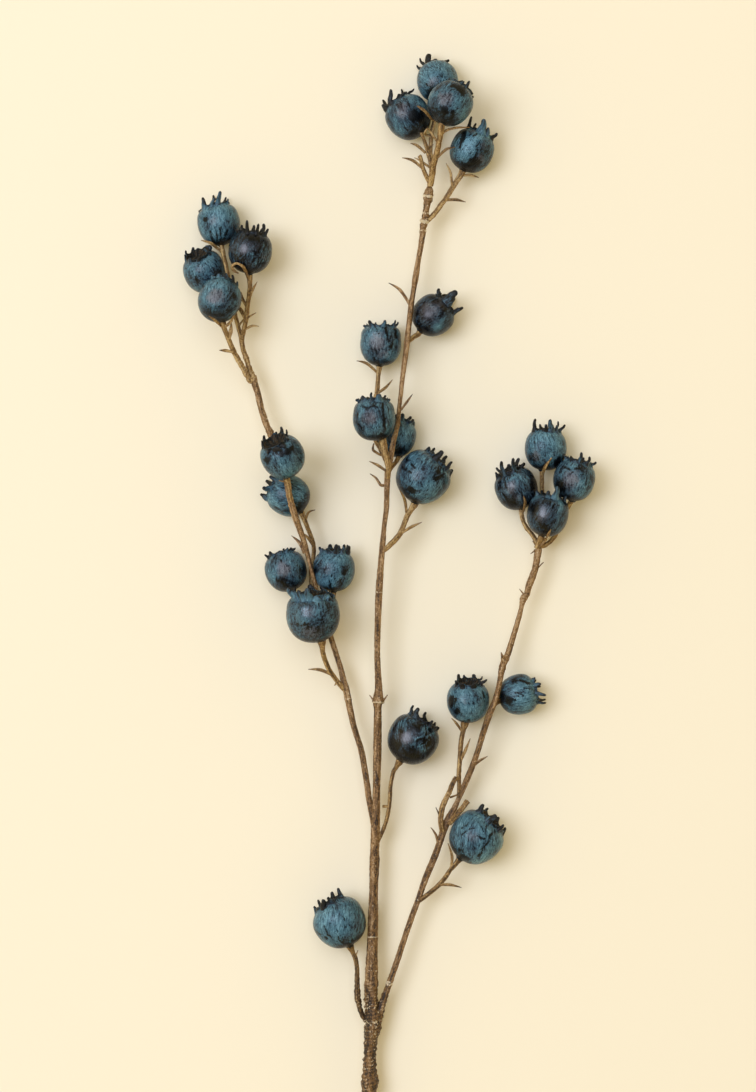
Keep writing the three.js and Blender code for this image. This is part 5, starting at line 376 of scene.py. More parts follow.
# Points of the crowns: [azimuth of the root from the upper side, tip x, tip y, half breadth, how blue], in radii seen from above.
CROWNS = {
    "berry_top_1": [(272, -1.0, 0.94, 0.075, -0.1), (300, -0.86, 1.25, 0.07, -0.05), (322, -0.42, 1.42, 0.16, -0.7), (45, 0.56, 1.14, 0.07, -0.05)],
    "berry_top_2": [(20, 0.89, 1.01, 0.07, -0.1), (350, 0.66, 0.98, 0.05, -0.2)],
    "berry_top_3": [(280, -1.20, 0.60, 0.13, -0.4), (232, -1.16, 0.90, 0.10, -0.2), (325, -0.82, 1.22, 0.105, -0.3), (160, -0.33, 1.42, 0.05, -0.4), (75, 0.24, 1.30, 0.05, -0.4), (20, -0.20, 1.10, 0.06, -0.3)],
    "berry_top_4": [(290, 0.0, 1.56, 0.08, -0.8), (212, 0.24, 1.36, 0.06, -0.8), (5, 0.53, 1.38, 0.15, 0.5), (155, 0.78, 1.10, 0.08, 0.2), (75, 1.18, 0.80, 0.095, -0.7), (40, 0.74, 1.02, 0.09, 0.4)],
    "berry_left_top_1": [(255, -0.98, 0.62, 0.08, 0.0), (308, -0.76, 1.24, 0.12, 0.25), (198, -0.31, 1.48, 0.07, 0.05), (14, 0.10, 1.50, 0.10, 0.35), (150, 0.30, 1.38, 0.06, 0.05), (65, 0.43, 1.20, 0.06, 0.1), (345, -0.14, 1.20, 0.08, 0.2)],
    "berry_left_top_2": [(275, -0.62, 1.04, 0.08, -0.5), (230, -0.38, 1.27, 0.09, -0.4), (340, -0.10, 1.38, 0.08, -0.4), (180, 0.16, 1.30, 0.07, -0.5), (24, 0.42, 1.22, 0.07, -0.4), (135, 0.60, 1.34, 0.11, -0.4), (78, 0.84, 1.05, 0.08, -0.5)],
    "berry_left_top_3": [(262, -0.93, 0.80, 0.06, -0.1), (230, -0.90, 1.02, 0.07, 0.0), (200, -0.58, 1.19, 0.08, -0.1), (170, -0.28, 1.10, 0.06, -0.2), (118, 0.28, 1.24, 0.17, 0.4), (60, 0.30, 0.80, 0.12, 0.35), (0, -0.18, 0.62, 0.12, 0.1), (310, -0.66, 0.60, 0.10, 0.0)],
    "berry_left_top_4": [(5, 0.30, 1.30, 0.08, -0.1), (38, 0.60, 1.22, 0.08, -0.4), (325, -0.02, 1.28, 0.10, 0.5), (295, -0.36, 1.20, 0.12, 0.55), (262, -0.62, 1.00, 0.14, 0.5), (345, 0.16, 1.12, 0.11, 0.4), (75, 0.82, 0.94, 0.07, 0.0)],
    "berry_centre_1": [(285, 0.32, 1.30, 0.11, -0.2), (354, 1.17, 1.11, 0.20, -0.2), (62, 1.47, 0.37, 0.11, -0.3), (180, 1.10, 0.93, 0.12, -0.3), (125, 1.25, 0.42, 0.09, -0.3), (228, 0.70, 1.02, 0.10, -0.3)],
    "berry_centre_2": [(320, -0.56, 1.19, 0.11, 0.0), (200, -0.24, 1.18, 0.05, 0.0), (11, 0.18, 1.19, 0.08, 0.1), (155, 0.36, 1.10, 0.06, 0.1), (60, 0.70, 1.22, 0.06, 0.0), (105, 0.84, 1.17, 0.06, 0.0), (268, -0.84, 1.00, 0.08, 0.1)],
    "berry_centre_3": [(270, -0.86, 0.97, 0.09, -0.1), (311, -0.53, 1.12, 0.12, 0.0), (210, -0.37, 1.04, 0.06, 0.0), (350, -0.12, 1.26, 0.06, 0.1), (20, 0.22, 1.19, 0.15, 0.35), (138, 0.54, 1.18, 0.07, 0.1), (80, 0.74, 0.98, 0.08, 0.0)],
    "berry_centre_5": [(280, 0.27, 1.14, 0.06, -0.3), (220, 0.48, 1.11, 0.06, -0.3), (345, 0.73, 0.98, 0.11, -0.4), (165, 0.94, 0.82, 0.07, -0.2), (45, 1.10, 0.58, 0.07, -0.3), (100, 1.13, 0.30, 0.09, -0.3)],
    "berry_left_mid_1": [(130, -0.09, 1.38, 0.09, -0.3), (95, 0.16, 1.24, 0.045, -0.3), (165, -0.32, 1.16, 0.06, -0.4), (225, -0.88, 0.98, 0.09, -0.5), (258, -0.95, 0.74, 0.06, -0.4), (20, 0.14, 0.42, 0.10, -0.8), (350, -0.06, 0.30, 0.10, -0.8), (315, -0.70, 0.16, 0.09, -0.6), (60, 0.26, 0.82, 0.08, 0.2)],
    "berry_left_mid_3": [(275, -1.04, 0.80, 0.07, -0.1), (323, -0.80, 0.95, 0.08, 0.0), (190, -0.36, 0.99, 0.07, 0.2), (165, -0.13, 1.10, 0.06, 0.0), (30, 0.08, 1.13, 0.06, 0.1), (110, 0.42, 1.13, 0.055, 0.0), (0, -0.22, 1.0, 0.07, 0.2)],
    "berry_left_mid_5": [(300, -0.90, 1.06, 0.15, 0.5), (255, -0.66, 1.10, 0.07, 0.1), (332, -0.50, 0.98, 0.12, 0.3), (185, -0.15, 1.17, 0.12, 0.3), (350, -0.16, 1.05, 0.12, 0.4), (20, 0.30, 0.68, 0.14, 0.5), (135, 0.26, 1.12, 0.07, 0.1), (52, 0.66, 0.62, 0.14, 0.5), (82, 0.80, 0.80, 0.10, 0.3)],
    "berry_right_top_1": [(285, -0.50, 1.48, 0.10, -0.7), (205, -0.25, 1.26, 0.06, -0.6), (355, -0.03, 1.20, 0.08, -0.5), (20, 0.18, 1.43, 0.12, 0.25), (130, 0.61, 1.39, 0.06, -0.1), (80, 0.92, 1.20, 0.08, 0.0), (50, 0.50, 1.16, 0.08, 0.2)],
    "berry_right_top_2": [(275, -1.0, 0.78, 0.08, -0.3), (215, -0.95, 1.02, 0.07, -0.2), (330, -0.74, 1.28, 0.10, 0.0), (180, -0.36, 1.18, 0.10, 0.3), (20, -0.20, 1.43, 0.10, 0.1), (140, 0.13, 1.46, 0.10, -0.7), (75, 0.36, 1.22, 0.10, -0.7)],
    "berry_right_top_3": [(280, -0.42, 1.20, 0.09, 0.2), (215, -0.10, 1.20, 0.06, 0.0), (0, 0.30, 1.34, 0.08, -0.1), (155, 0.50, 1.13, 0.07, -0.2), (40, 0.70, 1.14, 0.09, -0.2), (90, 1.07, 0.89, 0.08, -0.2)],
    "berry_right_top_4": [(280, -0.52, 1.22, 0.10, 0.2), (215, -0.24, 1.26, 0.08, 0.0), (345, 0.05, 1.20, 0.10, 0.2), (15, 0.44, 1.42, 0.13, 0.35), (140, 0.70, 1.39, 0.09, 0.3), (80, 0.93, 1.13, 0.08, 0.1)],
    "berry_right_low_1": [(230, -0.47, 1.29, 0.10, -0.6), (200, -0.20, 1.25, 0.05, -0.6), (150, 0.27, 1.28, 0.11, -0.6), (120, 0.65, 1.19, 0.045, -0.5), (80, 0.86, 1.06, 0.08, -0.4), (290, -0.62, 1.02, 0.08, -0.5), (330, -0.34, 0.90, 0.11, -0.6), (25, 0.24, 0.88, 0.11, -0.5)],
    "berry_right_low_2": [(300, 0.82, 0.86, 0.08, 0.1), (330, 1.09, 0.54, 0.10, 0.1), (200, 1.14, 0.38, 0.05, 0.0), (10, 1.33, 0.0, 0.08, 0.0), (130, 1.38, -0.24, 0.07, -0.3), (70, 1.36, -0.38, 0.08, 0.1)],
    "berry_right_low_3": [(285, 0.28, 1.25, 0.11, 0.1), (220, 0.48, 1.06, 0.06, -0.2), (345, 0.74, 0.90, 0.11, -0.1), (160, 0.88, 0.72, 0.07, -0.4), (40, 1.0, 0.54, 0.07, -0.3), (95, 1.10, 0.38, 0.07, -0.3)],
    "berry_base_1": [(275, 0.04, 1.36, 0.07, 0.2), (318, 0.25, 1.27, 0.11, -0.1), (178, 0.55, 1.05, 0.06, -0.2), (30, 0.80, 0.78, 0.07, -0.2), (95, 1.05, 0.49, 0.07, -0.2), (130, 0.92, 0.66, 0.05, -0.2)],
    "berry_base_2": [(268, -1.0, 0.60, 0.07, 0.0), (220, -0.86, 0.80, 0.06, -0.1), (335, -0.66, 0.93, 0.10, -0.5), (20, -0.46, 1.02, 0.07, -0.1), (160, -0.32, 1.10, 0.08, -0.1), (70, -0.08, 1.33, 0.09, 0.0)],
}

# ---------------------------------------------------------------- helpers
def rng_of(name):
    return np.random.RandomState(sum((i + 3) * ord(c) for i, c in enumerate(name)) % 2**31)


def unit(v):
    v = np.asarray(v, float)
    return v / max(np.linalg.norm(v), 1e-12)


def catmull(points, per):
    """Points along a Catmull-Rom curve through rows of numbers, per steps a stretch."""
    p = np.asarray(points, float)
    out = []
    for i in range(len(p) - 1):
        a, b, c, d = p[max(i - 1, 0)], p[i], p[i + 1], p[min(i + 2, len(p) - 1)]
        n = per if isinstance(per, int) else max(2, int(math.ceil(np.linalg.norm(c[:3] - b[:3]) / per)))
        for k in range(n):
            t = k / n
            out.append(0.5 * (2 * b + (c - a) * t + (2 * a - 5 * b + 4 * c - d) * t * t + (3 * b - a - 3 * c + d) * t**3))
    out.append(p[-1])
    return np.array(out)


def noise_at(points, scale, seed=0.0):
    """Perlin noise at rows of points, about -1 to 1."""
    off = Vector((seed * 7.31, seed * 3.17, seed * 5.71))
    return np.array([noise.noise(Vector(p) * scale + off) for p in points])


class Build:
    """Gathers closed shells into one mesh, with a material slot a face and named numbers a point."""

    def __init__(self):
        self.verts, self.faces, self.slots, self.data = [], [], [], {}
        self.count = 0

    def add(self, verts, faces, slot=0, **data):
        base = self.count
        self.verts.append(np.asarray(verts, float))
        self.faces += [tuple(base + i for i in f) for f in faces]
        self.slots += [slot] * len(faces) if isinstance(slot, int) else list(slot)
        n = len(verts)
        for key in set(self.data) | set(data):
            width = self.data[key][0].shape[1] if key in self.data else (np.asarray(data[key]).reshape(n, -1)).shape[1]
            block = np.asarray(data[key], float).reshape(n, -1) if key in data else np.zeros((n, width))
            if key not in self.data:
                self.data[key] = [np.zeros((base, width))] if base else []
            self.data[key].append(block)
        self.count += n

    def object(self, name, materials):
        v = np.concatenate(self.verts)
        low = v[:, 2] < 0.35  # nothing reaches below the surface that the spray lies on
        v[low, 2] = 0.35 * np.exp((v[low, 2] - 0.35) / 0.8)
        v = v * MM
        me = bpy.data.meshes.new(name)
        me.from_pydata(v.tolist(), [], self.faces)
        for m in materials:
            me.materials.append(m)
        me.polygons.foreach_set("material_index", np.array(self.slots, np.int32))
        me.polygons.foreach_set("use_smooth", np.ones(len(self.faces), bool))
        for key, blocks in self.data.items():
            block = np.concatenate(blocks)
            kind = "FLOAT_VECTOR" if block.shape[1] == 3 else "FLOAT"
            a = me.attributes.new(key, kind, "POINT")
            a.data.foreach_set("vector" if kind == "FLOAT_VECTOR" else "value", block.astype(np.float32).ravel())
        me.update()
        me.validate()
        ob = bpy.data.objects.new(name, me)
        scene.collection.objects.link(ob)
        return ob


def grid_faces(rows, sides):
    """Quads of a closed tube of rows rings, with both ends capped by a fan to a pole after the rings."""
    f = []
    for i in range(rows - 1):
        for k in range(sides):
            a, b = i * sides + k, i * sides + (k + 1) % sides
            f.append((a, b, b + sides, a + sides))
    s, e = rows * sides, rows * sides + 1
    for k in range(sides):
        f.append((s, (k + 1) % sides, k))
        last = (rows - 1) * sides
        f.append((e, last + k, last + (k + 1) % sides))
    return f


def frames_along(p, up=None):
    """Tangent, normal and side at each point. With up the normal leans to it, else it is carried along."""
    t = np.gradient(p, axis=0)
    t /= np.maximum(np.linalg.norm(t, axis=1, keepdims=True), 1e-9)
    n = np.zeros_like(p)
    cur = None
    for i in range(len(p)):
        ref = np.array([0, 0, 1.0]) if up is None else (up[i] if np.ndim(up) > 1 else np.asarray(up, float))
        if up is not None or cur is None:
            if abs(ref.dot(t[i])) > 0.97:
                ref = np.array([1.0, 0, 0])
            cur = ref - t[i] * ref.dot(t[i])
        else:
            cur = cur - t[i] * cur.dot(t[i])
        cur = cur / max(np.linalg.norm(cur), 1e-9)
        n[i] = cur
    return t, n, np.cross(t, n)


# ---------------------------------------------------------------- materials
def new_material(name):
    m = bpy.data.materials.new(name)
    m.use_nodes = True
    nt = m.node_tree
    nt.nodes.clear()
    out = nt.nodes.new("ShaderNodeOutputMaterial")
    bsdf = nt.nodes.new("ShaderNodeBsdfPrincipled")
    nt.links.new(bsdf.outputs[0], out.inputs[0])
    return m, nt, bsdf


class Nodes:
    """Short calls for a node tree."""

    def __init__(self, nt):
        self.nt = nt

    def link(self, value, socket):
        if hasattr(value, "is_output"):
            self.nt.links.new(value, socket)
        else:
            socket.default_value = value

    def attr(self, name, kind="Fac"):
        n = self.nt.nodes.new("ShaderNodeAttribute")
        n.attribute_name = name
        return n.outputs[kind]

    def math(self, op, a, b=0.0, c=None, clamp=False):
        n = self.nt.nodes.new("ShaderNodeMath")
        n.operation = op
        n.use_clamp = clamp
        self.link(a, n.inputs[0])
        self.link(b, n.inputs[1])
        if c is not None:
            self.link(c, n.inputs[2])
        return n.outputs[0]

    def spread(self, value, gain):
        """Noise about zero, widened."""
        return self.math("MULTIPLY", self.math("SUBTRACT", value, 0.5), gain)

    def vmath(self, op, a, b):
        n = self.nt.nodes.new("ShaderNodeVectorMath")
        n.operation = op
        self.link(a, n.inputs[0])
        self.link(b, n.inputs[1])
        return n.outputs[0]

    def noise(self, vector, scale, detail=2.0, rough=0.5, w=None, distortion=0.0, kind="FBM"):
        n = self.nt.nodes.new("ShaderNodeTexNoise")
        n.noise_dimensions = "4D" if w is not None else "3D"
        n.noise_type = kind
        self.link(vector, n.inputs["Vector"])
        if w is not None:
            self.link(w, n.inputs["W"])
        n.inputs["Scale"].default_value = scale
        n.inputs["Detail"].default_value = detail
        n.inputs["Roughness"].default_value = rough
        n.inputs["Distortion"].default_value = distortion
        return n.outputs["Fac"]

    def ramp(self, value, lo, hi, smooth=True):
        n = self.nt.nodes.new("ShaderNodeMapRange")
        n.interpolation_type = "SMOOTHSTEP" if smooth else "LINEAR"
        self.link(value, n.inputs["Value"])
        self.link(lo, n.inputs["From Min"])
        self.link(hi, n.inputs["From Max"])
        n.inputs["To Min"].default_value = 0
        n.inputs["To Max"].default_value = 1
        return n.outputs[0]

    def mix(self, fac, a, b, mode="MIX"):
        n = self.nt.nodes.new("ShaderNodeMix")
        n.data_type = "RGBA"
        n.blend_type = mode
        n.clamp_factor = True
        self.link(fac, n.inputs[0])
        self.link(a, n.inputs[6])
        self.link(b, n.inputs[7])
        return n.outputs[2]

    def bump(self, height, distance, strength=1.0, normal=None):
        n = self.nt.nodes.new("ShaderNodeBump")
        n.inputs["Strength"].default_value = strength
        n.inputs["Distance"].default_value = distance
        self.link(height, n.inputs["Height"])
        if normal is not None:
            self.link(normal, n.inputs["Normal"])
        return n.outputs[0]


def rgb(r, g, b):
    """A colour given in 0-255 display values, as linear numbers."""
    return tuple([((c / 255 + 0.055) / 1.055) ** 2.4 if c > 10 else c / 255 / 12.92 for c in (r, g, b)] + [1.0])


def berry_paint():
    m, nt, b = new_material("berry_paint")
    x = Nodes(nt)
    mer, seed, bias, dark, speckle = x.attr("mer", "Vector"), x.attr("seed"), x.attr("bias"), x.attr("dark"), x.attr("speckle")
    streak, bloom = x.attr("streak"), x.attr("bloom")
    # the brush runs along the berry's meridians, so its height counts for less than its azimuth
    wide = x.noise(x.vmath("MULTIPLY", mer, (1.5, 1.5, 1.1)), 1.0, 2.0, 0.5, seed, 0.5)
    coarse = x.noise(x.vmath("MULTIPLY", mer, (4.6, 4.6, 2.0)), 1.0, 3.0, 0.6, seed, 0.9)
    stroke = x.noise(x.vmath("MULTIPLY", mer, (11.0, 11.0, 3.3)), 1.0, 3.0, 0.66, seed, 0.7)
    hair = x.noise(x.vmath("MULTIPLY", mer, (24.0, 24.0, 5.5)), 1.0, 2.0, 0.6, seed, 0.3)
    grain = x.noise(mer, 13.0, 3.0, 0.65, seed, 0.4)
    mottle = x.noise(mer, 8.0, 3.0, 0.6, seed, 0.8)
    base = x.math("ADD", x.spread(wide, 2.4), x.spread(coarse, 1.7))
    base = x.math("ADD", base, bias)
    # some stretches are brushed smooth, others are streaked or dabbed
    region = x.ramp(x.noise(mer, 1.9, 2.0, 0.5, x.math("ADD", seed, 7.0)), 0.38, 0.60)
    lively = x.math("MULTIPLY", x.math("ADD", 0.36, x.math("MULTIPLY", region, 0.98)), streak)
    hairs = x.math("ADD", x.spread(stroke, 2.9), x.spread(hair, 2.0))
    dabs = x.math("MULTIPLY", x.math("MULTIPLY", x.spread(grain, 1.9), x.math("SUBTRACT", 1.25, x.math("MULTIPLY", region, 0.6))), speckle)
    rough_edge = x.math("ADD", x.math("MULTIPLY", hairs, lively), dabs)
    paint = x.math("ADD", x.math("ADD", base, rough_edge), x.spread(mottle, 0.8))
    thin = x.ramp(paint, -0.62, 0.0)
    full = x.ramp(paint, -0.10, 0.50)
    bright = x.ramp(x.math("ADD", paint, x.spread(hair, 1.6)), 0.42, 1.45)
    ground = x.mix(x.ramp(coarse, 0.38, 0.62), BLACK, NAVY)
    # a mauve grey on parts of the bare ground, partly its own tone and partly a painted sheen
    ground = x.mix(x.math("MULTIPLY", x.ramp(wide, 0.46, 0.66), 0.60), ground, MAUVE_TONE_AND_SHEEN)
    c = x.mix(thin, ground, SLATE)
    c = x.mix(full, c, TEAL)
    c = x.mix(bright, c, TEAL_LIGHT)
    # painted highlight: a mauve grey laid into the paint in soft patches, mostly up and left of centre where the lamp's
    # highlight falls, darker where the blue is thinner
    painted_highlight_mix = x.ramp(x.math("ADD", bloom, x.math("ADD", x.spread(mottle, 0.9), x.spread(stroke, 0.5))), 0.22, 0.80)
    c = x.mix(x.math("MULTIPLY", painted_highlight_mix, 0.80), c, x.mix(x.ramp(paint, -0.5, 0.8), HIGHLIGHT_MAUVE_DARK, HIGHLIGHT_MAUVE))
    # black patches with ragged edges where the paint was left off, and at the stem end and in a few patches painted
    # shade
    bare = x.math("ADD", dark, x.math("MULTIPLY", x.math("ADD", x.math("ADD", hairs, dabs), x.spread(mottle, 2.6)), 0.56))
    bare = x.ramp(bare, 0.37, 0.47)
    flecks = x.math("MULTIPLY", x.ramp(stroke, 0.44, 0.37), x.ramp(x.math("ADD", hair, x.spread(mottle, 0.6)), 0.54, 0.44))
    specks = x.math("MULTIPLY", x.ramp(x.math("ADD", grain, x.spread(mottle, 0.45)), 0.40, 0.33), x.ramp(speckle, 0.5, 1.3))
    flecks = x.math("MAXIMUM", flecks, specks)
    dark_mark = x.math("MAXIMUM", x.math("MULTIPLY", bare, 0.97), x.math("MULTIPLY", flecks, 0.88))
    c = x.mix(dark_mark, c, BLACK)
    x.link(c, b.inputs["Base Color"])
    rough = x.math("ADD", 0.165, x.math("MULTIPLY", full, 0.08))
    rough = x.math("ADD", rough, x.math("MULTIPLY", x.math("SUBTRACT", hair, 0.5), 0.16))
    rough = x.math("ADD", rough, x.math("MULTIPLY", dark_mark, 0.10))
    x.link(rough, b.inputs["Roughness"])
    height = x.math("ADD", x.math("MULTIPLY", stroke, 0.45), x.math("MULTIPLY", hair, 0.25))
    height = x.math("ADD", height, x.math("MULTIPLY", grain, 0.20))
    height = x.math("ADD", height, x.math("MULTIPLY", thin, 0.12))
    x.link(x.bump(height, 0.0003, 0.6), b.inputs["Normal"])
    b.inputs["Specular IOR Level"].default_value = 0.16
    x.link(x.attr("gloss"), b.inputs["Coat Weight"])
    b.inputs["Coat Roughness"].default_value = 0.20
    return m


def sepal_paint():
    """Points of the crown: black plastic with brushed blue along their lengths."""
    m, nt, b = new_material("sepal_paint")
    x = Nodes(nt)
    loc, seed, bias = x.attr("mer", "Vector"), x.attr("seed"), x.attr("bias")
    n1 = x.noise(x.vmath("MULTIPLY", loc, (0.8, 0.8, 0.45)), 1.0, 3.0, 0.6, seed, 0.4)
    n2 = x.noise(x.vmath("MULTIPLY", loc, (2.8, 2.8, 0.9)), 1.0, 3.0, 0.6, seed, 0.2)
    blue = x.math("ADD", x.math("ADD", x.spread(n1, 2.4), x.spread(n2, 2.8)), bias)
    c = x.mix(x.ramp(blue, -0.35, 0.10), DARK, SLATE)
    c = x.mix(x.ramp(blue, 0.0, 0.50), c, TEAL)
    c = x.mix(x.ramp(blue, 0.5, 1.2), c, TEAL_LIGHT)
    # a mauve grey in patches, partly the points' own tone and partly a painted sheen
    c = x.mix(x.math("MULTIPLY", x.ramp(n1, 0.56, 0.70), 0.35), c, MAUVE_TONE_AND_SHEEN)
    x.link(c, b.inputs["Base Color"])
    x.link(x.math("ADD", 0.32, x.math("MULTIPLY", n2, 0.22)), b.inputs["Roughness"])
    x.link(x.bump(x.math("ADD", n2, x.math("MULTIPLY", n1, 0.5)), 0.0004, 0.7), b.inputs["Normal"])
    b.inputs["Specular IOR Level"].default_value = 0.28
    return m


def cup_paint():
    m, nt, b = new_material("crown_cup")
    x = Nodes(nt)
    loc, seed = x.attr("mer", "Vector"), x.attr("seed")
    n1 = x.noise(x.vmath("MULTIPLY", loc, (5.0, 5.0, 4.0)), 1.0, 4.0, 0.7, seed, 0.8)
    n2 = x.noise(x.vmath("MULTIPLY", loc, (16.0, 16.0, 5.0)), 1.0, 3.0, 0.6, seed, 0.5)
    c = x.mix(x.ramp(x.math("ADD", n1, x.spread(n2, 0.6)), 0.46, 0.60), rgb(4, 4, 3), rgb(60, 46, 28))
    c = x.mix(x.ramp(x.math("ADD", n1, x.spread(n2, 0.9)), 0.66, 0.80), c, rgb(104, 88, 60))
    c = x.mix(x.math("MULTIPLY", x.ramp(n2, 0.56, 0.63), 0.75), c, rgb(50, 68, 74))
    x.link(c, b.inputs["Base Color"])
    b.inputs["Roughness"].default_value = 0.75
    x.link(x.bump(n1, 0.0005, 1.0), b.inputs["Normal"])
    b.inputs["Specular IOR Level"].default_value = 0.25
    return m


def bark(name, dark, mid, light, white, specks):
    """Wrapped or moulded stem: fibres along it, dark gaps, and cream where the wrap has cracked."""
    m, nt, b = new_material(name)
    x = Nodes(nt)
    along, seed, nick, tone, wind = x.attr("along", "Vector"), x.attr("seed"), x.attr("nick"), x.attr("tone"), x.attr("wind")
    fibre = x.noise(x.vmath("MULTIPLY", along, (1.3, 1.3, 0.22)), 1.0, 4.0, 0.62, seed, 0.4)
    fine = x.noise(x.vmath("MULTIPLY", along, (4.0, 4.0, 1.3)), 1.0, 3.0, 0.6, seed, 0.2)
    grit = x.noise(x.vmath("MULTIPLY", along, (1.7, 1.7, 1.5)), 1.0, 3.0, 0.65, seed, 0.5)
    blotch = x.noise(x.vmath("MULTIPLY", along, (0.5, 0.5, 0.16)), 1.0, 3.0, 0.55, seed)
    speck = x.noise(x.vmath("MULTIPLY", along, (1.5, 1.5, 1.3)), 1.0, 1.0, 0.5, seed, 0.3)
    value = x.math("ADD", x.spread(fibre, 1.5), x.spread(fine, 1.1))
    value = x.math("ADD", value, x.math("ADD", x.spread(blotch, 0.8), x.math("MULTIPLY", x.spread(grit, 1.6), x.math("SUBTRACT", 1.0, x.math("MULTIPLY", wind, 0.85)))))
    value = x.math("ADD", x.math("ADD", value, 0.72), tone)
    # the tape's tight turns: narrow pale crests with dark between
    parts = nt.nodes.new("ShaderNodeSeparateXYZ")
    x.link(along, parts.inputs[0])
    phase = x.math("ADD", x.math("ARCTAN2", parts.outputs[1], parts.outputs[0]), x.math("MULTIPLY", parts.outputs[2], 2.3))
    turn = x.math("ADD", x.math("SUBTRACT", x.math("ABSOLUTE", x.math("SINE", x.math("ADD", phase, x.spread(blotch, 8.0)))), 0.5), x.spread(grit, 1.1))
    patchy = x.ramp(x.math("ADD", blotch, x.spread(speck, 0.7)), 0.52, 0.66)
    coil = wind
    value = x.math("ADD", value, x.math("MULTIPLY", coil, x.math("MULTIPLY", turn, 0.20)))
    c = x.mix(x.ramp(value, 0.36, 0.68), dark, mid)
    c = x.mix(x.ramp(value, 0.70, 1.05), c, light)
    chips = x.ramp(x.math("ADD", x.math("ADD", speck, x.math("MULTIPLY", fine, 0.35)), nick), 1.08, 1.20)
    dots = x.ramp(x.math("ADD", speck, x.spread(fine, 0.25)), specks, specks + 0.035)
    crest = x.math("MULTIPLY", x.math("MULTIPLY", coil, x.math("MULTIPLY", x.ramp(turn, 0.24, 0.50), patchy)), 0.60)
    c = x.mix(x.math("MAXIMUM", x.math("MAXIMUM", x.math("MULTIPLY", chips, 0.85), x.math("MULTIPLY", dots, 0.75)), crest), c, white)
    x.link(c, b.inputs["Base Color"])
    x.link(x.math("ADD", 0.48, x.math("MULTIPLY", fine, 0.3)), b.inputs["Roughness"])
    height = x.math("ADD", x.math("MULTIPLY", fibre, 0.7), x.math("MULTIPLY", fine, 0.5))
    height = x.math("ADD", height, x.math("MULTIPLY", grit, 0.8))
    height = x.math("ADD", height, x.math("MULTIPLY", coil, x.math("MULTIPLY", turn, 0.3)))
    x.link(x.bump(height, 0.0005, 0.7), b.inputs["Normal"])
    return m


# the fourth colour, a mauve grey, is partly the bare paint's own tone and partly a painted sheen
DARK, BLACK, NAVY, MAUVE_TONE_AND_SHEEN = rgb(12, 14, 17), rgb(3, 4, 6), rgb(17, 24, 35), rgb(37, 37, 45)
SLATE, TEAL, TEAL_LIGHT = rgb(50, 68, 82), rgb(67, 101, 117), rgb(104, 144, 160)
# mauve greys of the painted highlight
HIGHLIGHT_MAUVE_DARK, HIGHLIGHT_MAUVE = rgb(65, 62, 68), rgb(112, 113, 119)
M_BERRY, M_SEPAL, M_CUP = berry_paint(), sepal_paint(), cup_paint()
M_STEM = bark("stem_wrap", rgb(38, 23, 8), rgb(116, 83, 43), rgb(169, 138, 98), rgb(216, 200, 168), 0.700)
M_TWIG = bark("twig_plastic", rgb(54, 34, 9), rgb(125, 93, 48), rgb(184, 154, 101), rgb(232, 218, 186), 0.80)

# ---------------------------------------------------------------- berries
# The outline from the base pole to the bottom of the crown's cup: radius and height as shares of the berry's radius.
OUTLINE = [
    (0.0, -0.955), (0.16, -0.962), (0.34, -0.93), (0.56, -0.83), (0.76, -0.655), (0.9, -0.42), (0.98, -0.16), (1.0, 0.08),
    (0.985, 0.3), (0.93, 0.53), (0.835, 0.72), (0.72, 0.85), (0.645, 0.91), (0.61, 0.97), (0.605, 1.04), (0.58, 1.07),
    (0.535, 1.04), (0.49, 0.96), (0.41, 0.87), (0.25, 0.82), (0.0, 0.80),
]
CUP_FROM = 16  # this point and later are the cup's inside
SIDES = 96


def berry_frame(axis):
    ax = unit(axis)
    e1 = np.array([0, 0, 1.0]) - ax * ax[2]
    e1 = unit(e1) if np.linalg.norm(e1) > 0.1 else unit(np.array([1.0, 0, 0]) - ax * ax[0])
    return ax, e1, np.cross(ax, e1)


def near_berry(point):
    """The berry whose skin is nearest to a point, and the gap to it."""
    name = min(BERRIES, key=lambda n: np.linalg.norm(np.array(point) - BERRIES[n]["c"]) - BERRIES[n]["r"])
    return name, np.linalg.norm(np.array(point) - BERRIES[name]["c"]) - BERRIES[name]["r"]


NUBS = {}
for _name, _parts in STEMS.items():
    if _name in ("short_spur", "bare_spur_twig", "main_stem", "left_branch", "right_branch"):
        continue
    for _rows in _parts["s"]:
        _berry, _gap = near_berry(_rows[0][:3])
        if _gap < 1.6:
            NUBS.setdefault(_berry, []).append((unit(np.array(_rows[0][:3]) - BERRIES[_berry]["c"]), 1.0 if _rows[0][3] > 1.0 else 0.85))


